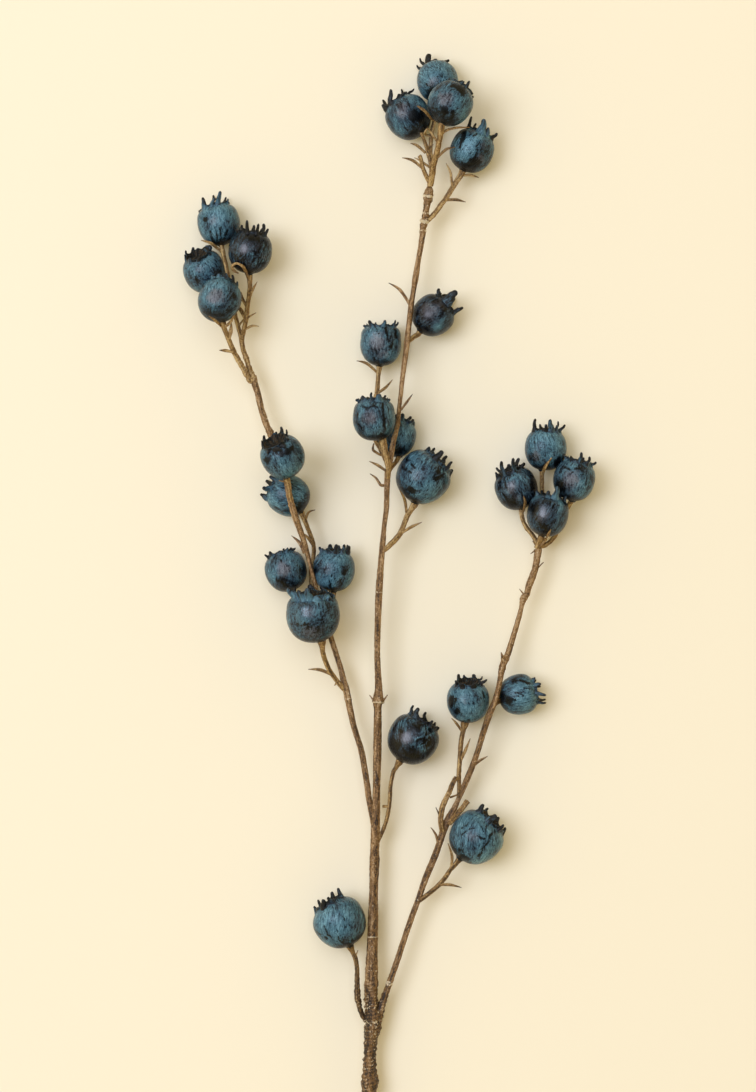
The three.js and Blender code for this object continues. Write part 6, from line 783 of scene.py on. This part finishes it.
def crown_points(name, spec, look, ring, base, rng):
    """Each point of the crown: azimuth of its root, where its tip is, half its breadth and how blue it is, in radii from the centre."""
    ax, e1, e2 = berry_frame(spec["ax"])
    r = spec["r"]
    found = []
    for phi, tx, ty, half, blue in CROWNS.get(name, []):
        ph = math.radians(phi)
        out = e1 * math.cos(ph) + e2 * math.sin(ph)
        root = ax * base + out * 0.60 * ring
        flat = np.array([tx, ty]) - root[:2]
        long = max(np.linalg.norm(flat), 0.12)
        rise = ax[2] * 0.9 + out[2] * 0.30
        found.append((ph % (2 * math.pi), np.array([tx, ty, root[2] + rise * long / max(0.45, math.sqrt(max(0.0, 1 - rise * rise)))]), half, blue))
    if not found:
        for phi, length, flare, width in spec["sepals"]:
            ph, fl = math.radians(phi), math.radians(flare)
            out = e1 * math.cos(ph) + e2 * math.sin(ph)
            tip = ax * 0.80 + out * 0.56 + (ax * math.cos(fl) + out * math.sin(fl)) * length / r
            found.append((ph % (2 * math.pi), tip, max(width, 0.8) / r * 0.5, rng.uniform(-0.2, 0.2)))
    # short points fill the side that is turned away
    while True:
        found.sort(key=lambda p: p[0])
        gaps = [((found[(i + 1) % len(found)][0] - p[0]) % (2 * math.pi), p[0]) for i, p in enumerate(found)]
        gap, start = max(gaps)
        if gap < math.radians(78):
            return found
        ph = start + gap / 2
        out = e1 * math.cos(ph) + e2 * math.sin(ph)
        for long in (0.42, 0.34, 0.26, 0.16):
            tip = ax * base + out * 0.60 * ring + (ax + out * 0.25) * long
            if math.hypot(tip[0], tip[1]) < 1.0 or tip[2] < -0.3 and long < 0.3:
                break
        found.append((ph % (2 * math.pi), tip, 0.08, rng.uniform(-0.2, 0.2)))


def make_berry(name, spec):
    rng = rng_of(name)
    look = LOOKS.get(name, {})
    c, r = np.array(spec["c"]), spec["r"]
    ax, e1, e2 = berry_frame(spec["ax"])
    prof = catmull([(a, b, 0) for a, b in OUTLINE], 3)[:, :2]
    prof = prof[1:-1]
    rows = len(prof)
    az = np.arange(SIDES) * 2 * math.pi / SIDES
    R = np.repeat(prof[:, 0:1], SIDES, 1)
    H = np.repeat(prof[:, 1:2], SIDES, 1)
    A = np.repeat(az[None, :], rows, 0)
    # shallow uneven ribs along the meridians, strongest on the shoulders, and a slightly uneven body
    ribs = np.zeros(SIDES)
    for k in (4, 6, 7, 9, 11, 14, 17):
        ribs += rng.uniform(0.4, 1) * np.sin(k * az + rng.uniform(0, 6.3)) / k**0.5
    ribs *= look.get("ribs", 1.0) * 0.0052
    on_body = np.clip((prof[:, 0:1] - 0.3) / 0.5, 0, 1) * (np.arange(rows)[:, None] < rows * 0.62)
    weight = on_body * (0.45 + 0.55 * np.clip(np.abs(prof[:, 1:2] - 0.1) / 0.7, 0, 1))
    R = R * (1 + ribs[None, :] * weight)
    for depth, where, width, lo, hi in look.get("grooves", []):
        d = (A - math.radians(where) + math.pi) % (2 * math.pi) - math.pi
        fade = np.clip((H - lo) / 0.15, 0, 1) * np.clip((hi - H) / 0.15, 0, 1)
        R = R * (1 - depth * np.exp(-((d / width) ** 2)) * fade * on_body)
    lump = np.zeros_like(R)
    for _ in range(4):
        w = unit(rng.normal(size=3))
        f = rng.uniform(1.2, 2.6)
        lump += np.sin(f * (R * np.cos(A) * w[0] + R * np.sin(A) * w[1] + H * w[2]) * 2 + rng.uniform(0, 6.3))
    R = R * (1 + 0.0045 * lump)
    # the cup's floor is rough and its rim wavy
    rim = np.exp(-(((np.arange(rows)[:, None] / rows) - 0.72) / 0.09) ** 2)
    H = H + rim * 0.02 * np.sin(7 * A + rng.uniform(0, 6)) + rim * 0.012 * np.sin(13 * A + rng.uniform(0, 6))
    inside = (np.arange(rows)[:, None] > CUP_FROM * 3) * 1.0
    crumbs = noise_at(np.stack([R * np.cos(A), R * np.sin(A), np.zeros_like(R)], -1).reshape(-1, 3), 5.0, rng.uniform(0, 60)).reshape(R.shape)
    H = H + inside * 0.075 * crumbs
    stretch = look.get("tall", 1.0)
    H = np.where(H > 0, H * stretch, H)
    drop = 0.12 * look.get("round", 0.4)
    H = H - drop * np.clip((H - 0.25) / 0.65, 0, 1) ** 1.3
    base = 0.89 * stretch - drop
    # a wider or narrower crown, drawn up into a scallop below each point
    ring = look.get("ring", 1.0)
    R = R * (1 + (ring - 1) * np.clip((H + drop - 0.35) / 0.5, 0, 1) ** 1.5)
    points = crown_points(name, spec, look, ring, base, rng)
    for phi, _, half, _ in points:
        d = (A - phi + math.pi) % (2 * math.pi) - math.pi
        H = H + rim * 0.075 * np.exp(-((d / (0.9 * half / 0.58 + 0.07)) ** 2))
    H = H - rim * 0.035
    P = c + r * (R[..., None] * (np.cos(A)[..., None] * e1 + np.sin(A)[..., None] * e2) + H[..., None] * ax)
    verts = np.concatenate([P.reshape(-1, 3), [c + r * OUTLINE[0][1] * ax], [c + r * (stretch * OUTLINE[-1][1] - drop) * ax]])
    faces = grid_faces(rows, SIDES)
    first_cup = CUP_FROM * 3 - 1
    slots = [2 if i // SIDES >= first_cup else 0 for i in range((rows - 1) * SIDES)] + [0, 2] * SIDES
    seed = rng.uniform(0, 60)
    # paint: twisted azimuth, height, and how much blue each point carries
    twist = look.get("twist", rng.uniform(-0.25, 0.25))
    U = np.concatenate([np.stack([R * np.cos(A), R * np.sin(A), H], -1).reshape(-1, 3), [[0, 0, -0.955], [0, 0, 0.83]]])
    turn = np.arctan2(U[:, 1], U[:, 0]) + twist * U[:, 2]
    # strokes lie flat towards the poles
    rho = np.clip(np.hypot(U[:, 0], U[:, 1]), 0.12, 1) ** 0.35
    mer = np.stack([np.cos(turn) * rho, np.sin(turn) * rho, U[:, 2]], -1)
    bias = np.full(len(U), look.get("blue", 0.0))
    world = (verts - c) / r
    wobble = np.stack([noise_at(world, 2.6, seed + 3 * k) for k in range(2)], 1)
    fine_wobble = np.stack([noise_at(world, 8.0, seed + 11 + 3 * k) for k in range(2)], 1)
    world = world + np.pad(0.13 * wobble + 0.045 * fine_wobble, ((0, 0), (0, 1)))
    # darker towards the stem end, partly the paint's own and partly painted shade on the side turned from the lamps;
    # darker also in a band below the crown
    dark = np.clip((-U[:, 2] - 0.50) / 0.45, 0, 1) * 0.80 * look.get("base", 1.0) + np.clip((U[:, 2] + drop - 0.86) / 0.14, 0, 1) * look.get("collar", 0.45)
    for dx, dy, size, amount in look.get("patches", []):
        d = np.array([dx, dy, math.sqrt(max(0.0, 1 - dx * dx - dy * dy))])
        near = np.exp(-((np.linalg.norm(world - d, axis=1) / size) ** 2))
        if amount > 0:
            bias += amount * near
        else:
            dark = np.maximum(dark, -amount * near)
    for x0, y0, x1, y1, width, amount in look.get("strokes", []):
        # a dark brush mark from one place to another, both seen from above in radii
        a, z = np.array([x0, y0]), np.array([x1, y1])
        t = np.clip(((world[:, :2] - a) @ (z - a)) / max((z - a) @ (z - a), 1e-6), 0, 1)
        d = np.linalg.norm(world[:, :2] - (a + t[:, None] * (z - a)), axis=1)
        mark = amount * np.exp(-((d / width) ** 2)) * (world[:, 2] > 0)
        if amount > 0:
            dark = np.maximum(dark, mark)
        else:
            bias -= mark
    # painted highlight: soft mauve patches, by default up and left of centre where the lamp's highlight falls
    bloom = np.zeros(len(U))
    for dx, dy, size, amount in look.get("bloom", [(-0.22, 0.08, 0.42, 0.45)]):
        d = np.array([dx, dy, math.sqrt(max(0.0, 1 - dx * dx - dy * dy))])
        bloom = np.maximum(bloom, amount * np.exp(-((np.linalg.norm(world - d, axis=1) / size) ** 2)))
    # varnish left where the berry was handled
    lit = np.array([-0.30, 0.06, 0.95])
    gloss = look.get("gloss", 0.0) * np.exp(-((np.linalg.norm((verts - c) / r - lit, axis=1) / 0.40) ** 2))
    b = Build()
    b.add(verts, faces, slots, bloom=bloom, streak=np.full(len(verts), look.get("streak", 1.0)), gloss=gloss, mer=mer, bias=bias, dark=dark, seed=np.full(len(verts), seed), speckle=np.full(len(verts), look.get("grain", 1.0)))
    # sepals
    for k, (phi, tip, half, blue) in enumerate(points):
        out = e1 * math.cos(phi) + e2 * math.sin(phi)
        root = c + ax * base * r + out * 0.60 * ring * r
        tip = c + tip * r
        run = tip - root
        L = max(np.linalg.norm(run), 0.5)
        outward = unit(out - unit(run) * out.dot(unit(run)))
        lean = unit(run).dot(ax)
        side = np.cross(ax, out) * rng.uniform(-0.10, 0.10) * L
        # the point leaves the shoulder along the body, then turns to its own direction
        knee = root + (ax * 0.80 + out * (0.10 if lean > 0.5 else 0.45)) * L * 0.38
        mid = root + run * 0.66 + outward * rng.uniform(-0.02, 0.07) * L + side
        ctrl = [root - (ax * 0.8 + out * 0.1) * 0.10 * r, root, knee * 0.55 + (root + run * 0.34) * 0.45, mid, tip]
        path = catmull(ctrl, 5)
        n = len(path)
        s = np.linspace(0, 1, n)
        blunt = half > 0.115
        club = blunt and blue < -0.55
        shape = np.interp(s, [0, 0.14, 0.28, 0.45, 0.68, 0.88, 0.96, 1.0],
                          [1.1, 1.0, 0.92, 0.95, 1.06, 0.96, 0.70, 0.25] if club else
                          [2.1, 2.0, 1.75, 1.35, 0.98, 0.72, 0.50, 0.16] if blunt else [2.6, 2.3, 1.65, 1.20, 0.98, 0.78, 0.56, 0.20])
        half_w = np.minimum(shape * (half + 0.008) * r, 0.33 * r * ring)
        thick = np.interp(s, [0, 0.25, 0.6, 0.9, 1], [0.085, 0.075, 0.058, 0.042, 0.010]) * r * (0.75 + 2.0 * half)
        tt, nn, ss = frames_along(path, out)
        # points that stand edge on are as stout as the others are broad
        flat_run = unit(np.append((path[-1] - path[1])[:2], 0.0))
        seen = np.clip(np.abs(np.cross(ss, flat_run)[:, 2]), 0, 1)
        thick = np.maximum(thick, np.minimum(0.80 * half_w * np.sqrt(1 - seen**2), 0.15 * r))
        sides = 14
        a = 2 * math.pi * np.arange(sides) / sides
        u, v = np.cos(a), np.sin(a)
        round_root = np.interp(s, [0, 0.3, 1], [0.34, 0.24, 0.10]) * np.clip(seen + 0.3, 0, 1)  # the blade is cupped inwards, most at its root
        vs = (path[:, None, :] + ss[:, None, :] * (u[None, :, None] * half_w[:, None, None])
              + nn[:, None, :] * (v[None, :] * thick[:, None] - round_root[:, None] * half_w[:, None] * u[None, :] ** 2)[..., None])
        vs = np.concatenate([vs.reshape(-1, 3), [path[0]], [path[-1] + unit(run) * 0.05]])
        vs[:-2] += noise_at(vs[:-2], 1.1, seed + k)[:, None] * 0.11 * (vs[:-2] - np.repeat(path, sides, 0))
        loc = np.concatenate([np.stack([np.tile(u, n) * np.repeat(half_w, sides), np.tile(v, n) * 0.7, np.repeat(s * L, sides)], -1), [[0, 0, 0], [0, 0, L]]])
        fade = np.concatenate([np.repeat(np.interp(s, [0, 0.2, 0.55, 0.8, 1], [0.10, 0.05, -0.10, -0.35, -0.8]), sides), [0, -0.4]])
        # on the bluer points the outer face is painted lighter and the inner face darker: painted light and shade
        tone = blue - 0.12 + look.get("sepal", 0.0) + fade + 0.30 * np.concatenate([np.tile(v, n), [0, 0]]) * (1 if blue > -0.4 else 0)
        b.add(vs, grid_faces(n, sides), 1, mer=loc, bias=tone, seed=np.full(len(vs), seed + 3.7 * k))
    # the dark nub where each pedicel goes in
    for d, thick in NUBS.get(name, []):
        d = np.array(d)
        reach = np.array([0.90, 0.965, 0.99, 1.01, 1.035, 1.05, 1.055]) * r
        girth = np.array([0.26, 0.20, 0.165, 0.145, 0.13, 0.11, 0.05]) * r * thick
        path = c + d * reach[:, None]
        _, nn, ss = frames_along(path)
        a = np.arange(18) * 2 * math.pi / 18
        ring = path[:, None, :] + (np.cos(a)[None, :, None] * ss[:, None, :] + np.sin(a)[None, :, None] * nn[:, None, :]) * girth[:, None, None]
        vs = np.concatenate([ring.reshape(-1, 3), [path[0]], [path[-1]]])
        vs[:-2] += noise_at(vs[:-2], 1.3, seed)[:, None] * 0.12 * (vs[:-2] - np.repeat(path, 18, 0)) / np.repeat(girth, 18)[:, None]
        b.add(vs, grid_faces(len(path), 18), 1, mer=vs - c, bias=np.full(len(vs), -0.6), seed=np.full(len(vs), seed))
    ob = b.object(name + "_skin", [M_BERRY, M_SEPAL, M_CUP])
    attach(ob, "root")
    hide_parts(name)
    return ob


# ---------------------------------------------------------------- stems, twigs and bracts
def add_tube(b, rows, sides, step, seed, rough, marks, spiral=0.0, tone=0.0, ridge=1.0, taper=False, twig=False):
    path = catmull(rows, step)
    p, rad = path[:, :3], path[:, 3].copy()
    n = len(p)
    _, nn, ss = frames_along(p)
    length = np.concatenate([[0], np.cumsum(np.linalg.norm(np.diff(p, axis=0), axis=1))])
    nick = np.zeros(n)
    for (mx, my, reach, amount, swell) in marks:
        d = np.hypot(p[:, 0] - mx, p[:, 1] - my)
        if d.min() > 4:
            continue
        g = np.exp(-((d / reach) ** 2))
        nick += amount * g
        rad *= 1 + swell * g
    ang = np.arange(sides) * 2 * math.pi / sides
    coarse = np.full(n, rough)
    low = -0.30 if twig else -0.13
    shade = tone + np.interp(p[:, 1], [-185, -110, -20, 60, 160], [low, low * 0.5, 0.0, 0.07, 0.06])
    bound = np.zeros(n)
    for (mx, my, reach, more, darker, wraps) in LUMPS:
        g = np.exp(-((np.hypot(p[:, 0] - mx, p[:, 1] - my) / reach) ** 2))
        coarse += more * g
        shade += darker * g
        bound = np.maximum(bound, wraps * g)
    if taper:
        top = p[:, 1].max()
        rad *= np.interp(top - p[:, 1], [0, 1.6], [0.62, 1.0])
        shade = shade + np.interp(top - p[:, 1], [0, 4.0], [0.16, 0.0])
    # tightly bound places swell and pinch from turn to turn
    pinch = noise_at(np.stack([length * 0.62, np.zeros(n), np.zeros(n)], 1), 1.0, seed + 5) + 0.5 * np.sin(length * 2.9 + seed)
    rad *= 1 + 0.20 * bound * pinch
    ring = p[:, None, :] + (np.cos(ang)[None, :, None] * ss[:, None, :] + np.sin(ang)[None, :, None] * nn[:, None, :]) * rad[:, None, None]
    flat = ring.reshape(-1, 3)
    bump = noise_at(flat, 0.5, seed) * 0.45 + noise_at(flat, 1.3, seed + 9) * 0.40 + noise_at(flat, 2.6, seed + 4) * 0.22
    amount = np.repeat(coarse * rad, sides) * bump
    # the tape's and the mould's long ridges
    wave = np.tile(ang, n) + np.repeat(0.6 * np.sin(length / 17.0 + seed) + length * 0.012, sides)
    groove_and_shade = 0.05 * np.cos(3 * wave + seed) + 0.03 * np.cos(7 * wave)
    amount += np.repeat(rad, sides) * groove_and_shade * ridge
    if np.any(spiral):
        wind = np.sin(np.tile(ang, n) * 1.0 + np.repeat(length, sides) * 2 * math.pi / 3.1)
        amount = amount + np.repeat(np.broadcast_to(spiral, n), sides) * np.repeat(rad, sides) * np.clip(wind, -0.3, 1)
    normal = (flat - np.repeat(p, sides, 0))
    normal /= np.maximum(np.linalg.norm(normal, axis=1, keepdims=True), 1e-9)
    flat = flat + normal * amount[:, None]
    t0, t1 = unit(p[0] - p[1]), unit(p[-1] - p[-2])
    verts = np.concatenate([flat, [p[0] + t0 * rad[0] * 0.25], [p[-1] + t1 * rad[-1] * 0.25]])
    along = np.stack([np.tile(np.cos(ang), n) * np.repeat(rad, sides), np.tile(np.sin(ang), n) * np.repeat(rad, sides), np.repeat(length, sides)], -1)
    along = np.concatenate([along, [[0, 0, 0]], [[0, 0, length[-1]]]])
    nk = np.concatenate([np.repeat(nick, sides), [0, 0]])
    coils = np.repeat(np.clip(np.broadcast_to(spiral, n) * 8 + bound, 0, 1), sides)
    coils = np.concatenate([coils, [0, 0]])
    # the tone is darker in the long grooves and lighter on the ridges: painted shade and light
    b.add(verts, grid_faces(n, sides), 0, along=along, wind=coils, nick=nk, tone=np.concatenate([np.repeat(shade, sides) + groove_and_shade * 1.9, [shade[0], shade[-1]]]), seed=np.full(len(verts), seed))


def add_bract(b, rows, seed, rng, thick=0.36):
    """A small pointed scale: flat on its inner side, ridged along its back, a little wider just past its root."""
    pts = np.asarray(rows, float)
    path = catmull(pts, 6 if len(pts) < 5 else 3)
    n = len(path)
    p, w = path[:, :3], np.maximum(path[:, 3], 0.14)
    s = np.linspace(0, 1, n)
    w = w * np.interp(s, [0, 0.15, 0.45, 1], [1.0, 0.94, 0.96, 1.0])
    th = thick * np.interp(s, [0, 0.3, 0.8, 1], [1.35, 1.0, 0.62, 0.3]) * min(1.3, max(0.75, w.max() / 0.65))
    up = np.array([0, 0, 1.0])
    _, nn, ss = frames_along(p, up)
    lean = rng.uniform(-0.5, 0.5)
    ca, sa = math.cos(lean), math.sin(lean)
    sides = 10
    ring = []
    for i in range(n):
        n2, s2 = nn[i] * ca + ss[i] * sa, ss[i] * ca - nn[i] * sa
        for j in range(sides):
            a = 2 * math.pi * j / sides
            u, v = math.cos(a), math.sin(a)
            ring.append(p[i] + s2 * u * w[i] + n2 * (v * th[i] * (1.0 if v > 0 else 0.55) + 0.18 * w[i] * u * u))
    vs = np.array(ring + [p[0], p[-1] + unit(p[-1] - p[-2]) * 0.12])
    vs[:-2] += (noise_at(vs[:-2], 0.8, seed) * 0.1)[:, None] * np.array([0, 0, 1.0])
    ln = np.concatenate([[0], np.cumsum(np.linalg.norm(np.diff(p, axis=0), axis=1))])
    u = np.tile(np.cos(np.arange(sides) * 2 * math.pi / sides), n) * np.repeat(w, sides)
    v = np.tile(np.sin(np.arange(sides) * 2 * math.pi / sides), n) * np.repeat(w, sides)
    along = np.concatenate([np.stack([u, v, np.repeat(ln, sides)], -1), [[0, 0, 0]], [[0, 0, ln[-1]]]])
    tone = np.concatenate([np.repeat(np.interp(s, [0, 0.6, 1], [0.02, 0.05, -0.16]), sides), [0, -0.16]])
    b.add(vs, grid_faces(n, sides), 0, along=along, wind=np.zeros(len(vs)), nick=np.full(len(vs), -0.5), tone=tone, seed=np.full(len(vs), seed))


def reach_berry(rows):
    """A strand's rows with its first end carried into the berry that it bears, if one is near."""
    r = np.asarray(rows, float)
    best = min(BERRIES.values(), key=lambda b: np.linalg.norm(r[0, :3] - b["c"]) - b["r"])
    c, rad = np.array(best["c"]), best["r"]
    gap = np.linalg.norm(r[0, :3] - c) - rad
    if gap > 2.6:
        return extended(r, 0.5, 0.0)
    d = unit(r[0, :3] - c)
    first = np.append(c + d * rad * 0.88, r[0, 3] * 1.15)
    if gap > 0.5:
        neck = np.append(c + d * (rad + gap * 0.45), r[0, 3] * 1.06)
        return np.vstack([first, neck, r[1:] if gap < 1.2 else r])
    return np.vstack([first, r[1:]])


ALL_STRANDS = [(n, k, np.array(rows)) for n, parts in STEMS.items() for k, rows in enumerate(parts["s"])]


def nearest_line(point, name, k):
    """The nearest place on any other strand's middle line, and the gap to that strand's skin."""
    best = (9.0, None)
    for n, j, o in ALL_STRANDS:
        if (n, j) == (name, k):
            continue
        a, c = o[:-1, :3], o[1:, :3]
        t = np.clip(((point - a) * (c - a)).sum(1) / ((c - a) ** 2).sum(1), 0, 1)
        near = a + t[:, None] * (c - a)
        d = np.linalg.norm(near - point, axis=1)
        i = d.argmin()
        if d[i] - o[i, 3] < best[0]:
            best = (d[i] - o[i, 3], near[i])
    return best


def joined(name, k, rows):
    """A strand's rows with its ends carried into the berry that it bears and the strand that it grows from."""
    r = np.asarray(rows, float)
    if name in ("short_spur", "bare_spur_twig"):
        return r
    gap, to = nearest_line(r[-1, :3], name, k)
    if to is not None and -0.4 < gap < 1.2:
        r = np.vstack([r, np.append(r[-1, :3] + (to - r[-1, :3]) * 0.8, r[-1, 3] * 0.95)])
    if name == "left_branch":
        gap, to = nearest_line(r[0, :3], name, k)
        r = np.vstack([np.append(to + [0.3, 1.2, 0], 1.0), r])
    elif name not in ("main_stem", "right_branch"):
        r = reach_berry(r)
        if (name, k) == ("top_spray_twig", 1):
            r[0, 3] *= 0.45
            r[1, 3] *= 0.80
    return r


def extended(rows, before, after):
    """A strand's rows carried on a little at both ends, so that it goes into the berry and the stem that it joins."""
    r = np.asarray(rows, float)
    a, z = r[0].copy(), r[-1].copy()
    if before:
        a[:3] = r[0, :3] + unit(r[0, :3] - r[1, :3]) * before
        r = np.vstack([a, r])
    if after:
        z[:3] = r[-1, :3] + unit(r[-1, :3] - r[-2, :3]) * after
        r = np.vstack([r, z])
    return r


MAIN_NODES = ["main_stem_base", "main_stem_lower", "main_stem_middle", "main_stem_top"]


def make_stem(name, parts):
    rng = rng_of(name)
    seed = rng.uniform(0, 60)
    wrapped = name in ("main_stem", "left_branch", "right_branch")
    b = Build()
    for k, rows in enumerate(parts["s"] + EXTRA.get(name, [])):
        rows = joined(name, k, rows) if k < len(parts["s"]) else rows
        if wrapped:
            path = catmull(rows, 0.55)
            spiral = np.interp(path[:, 1], SPIRAL[0], SPIRAL[1]) if name == "main_stem" else 0.0
            add_tube(b, rows, 30, 0.55, seed + k, 0.14, MARKS, spiral, taper=name == "main_stem")
        else:
            add_tube(b, rows, 18, 0.4, seed + k, 0.20, MARKS, ridge=1.3, twig=True)
    for k, rows in enumerate(parts["b"]):
        add_bract(b, rows, seed + 20 + k, rng)
    ob = b.object(name + "_skin", [M_STEM if wrapped else M_TWIG])
    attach(ob, "root")
    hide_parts(*(MAIN_NODES if name == "main_stem" else [name]))
    return ob


for n, s in BERRIES.items():
    make_berry(n, s)
for n, s in STEMS.items():
    make_stem(n, s)

# ---------------------------------------------------------------- ground, light and camera
def make_ground():
    me = bpy.data.meshes.new("ground")
    me.from_pydata([(-3, -3, 0), (3, -3, 0), (3, 3, 0), (-3, 3, 0)], [], [(0, 1, 2, 3)])
    ob = bpy.data.objects.new("ground", me)
    scene.collection.objects.link(ob)
    m, nt, b = new_material("ground_paper")
    x = Nodes(nt)
    tc = nt.nodes.new("ShaderNodeTexCoord")
    n1 = x.noise(tc.outputs["Object"], 4.0, 2.0, 0.5)
    n2 = x.noise(tc.outputs["Object"], 900.0, 2.0, 0.5)
    c = x.mix(n1, GROUND_A, GROUND_B)
    x.link(c, b.inputs["Base Color"])
    b.inputs["Roughness"].default_value = 0.9
    b.inputs["Specular IOR Level"].default_value = 0.15
    x.link(x.bump(n2, 0.00003, 0.3), b.inputs["Normal"])
    me.materials.append(m)


WORLD, KEY_POWER, FILL_POWER = 1.17, 34.0, 59.5
GROUND_A, GROUND_B = (0.882, 0.802, 0.618, 1), (0.897, 0.812, 0.628, 1)
make_ground()

world = bpy.data.worlds.new("studio")
world.use_nodes = True
wn = Nodes(world.node_tree)
wb = world.node_tree.nodes["Background"]
direction = world.node_tree.nodes.new("ShaderNodeTexCoord").outputs["Generated"]
split = world.node_tree.nodes.new("ShaderNodeSeparateXYZ")
wn.link(direction, split.inputs[0])
# the room is brighter round its sides than overhead
height = wn.ramp(split.outputs[2], 0.22, 0.80)
wn.link(wn.mix(height, (1.03, 0.800, 0.320, 1), (0.22, 0.185, 0.110, 1)), wb.inputs[0])
wb.inputs[1].default_value = WORLD
scene.world = world


def area(name, where, target, size, power, colour):
    d = bpy.data.lights.new(name, "AREA")
    d.shape = "DISK"
    d.size = size
    d.energy = power
    d.color = colour
    o = bpy.data.objects.new(name, d)
    o.location = where
    o.rotation_mode = "QUATERNION"
    o.rotation_quaternion = (Vector(target) - Vector(where)).to_track_quat("-Z", "Y")
    scene.collection.objects.link(o)
    return o


def towards(x, y, up):
    return Vector((x, y, 0.0)).normalized() * math.cos(math.radians(up)) + Vector((0, 0, math.sin(math.radians(up))))


area("key", towards(-0.95, 0.22, 58) * 3.0, (0, 0, 0), 1.80, KEY_POWER, (0.995, 1.095, 1.34))
area("fill", towards(-0.60, 0.80, 70) * 3.6, (0, 0, 0), 4.2, FILL_POWER, (0.995, 1.095, 1.34))

cam = bpy.data.objects.new("camera", bpy.data.cameras.new("camera"))
scene.collection.objects.link(cam)
cam.data.type = "PERSP"
cam.data.sensor_width = 36.0
cam.data.lens = 36.0 * 1400.0 / 436.8
cam.location = (CAM_X * MM, CAM_Y * MM, 1.4)
cam.rotation_euler = (0, 0, 0)
cam.data.clip_start, cam.data.clip_end = 0.05, 20
scene.camera = cam
scene.view_settings.view_transform = "Standard"
scene.view_settings.look = "None"
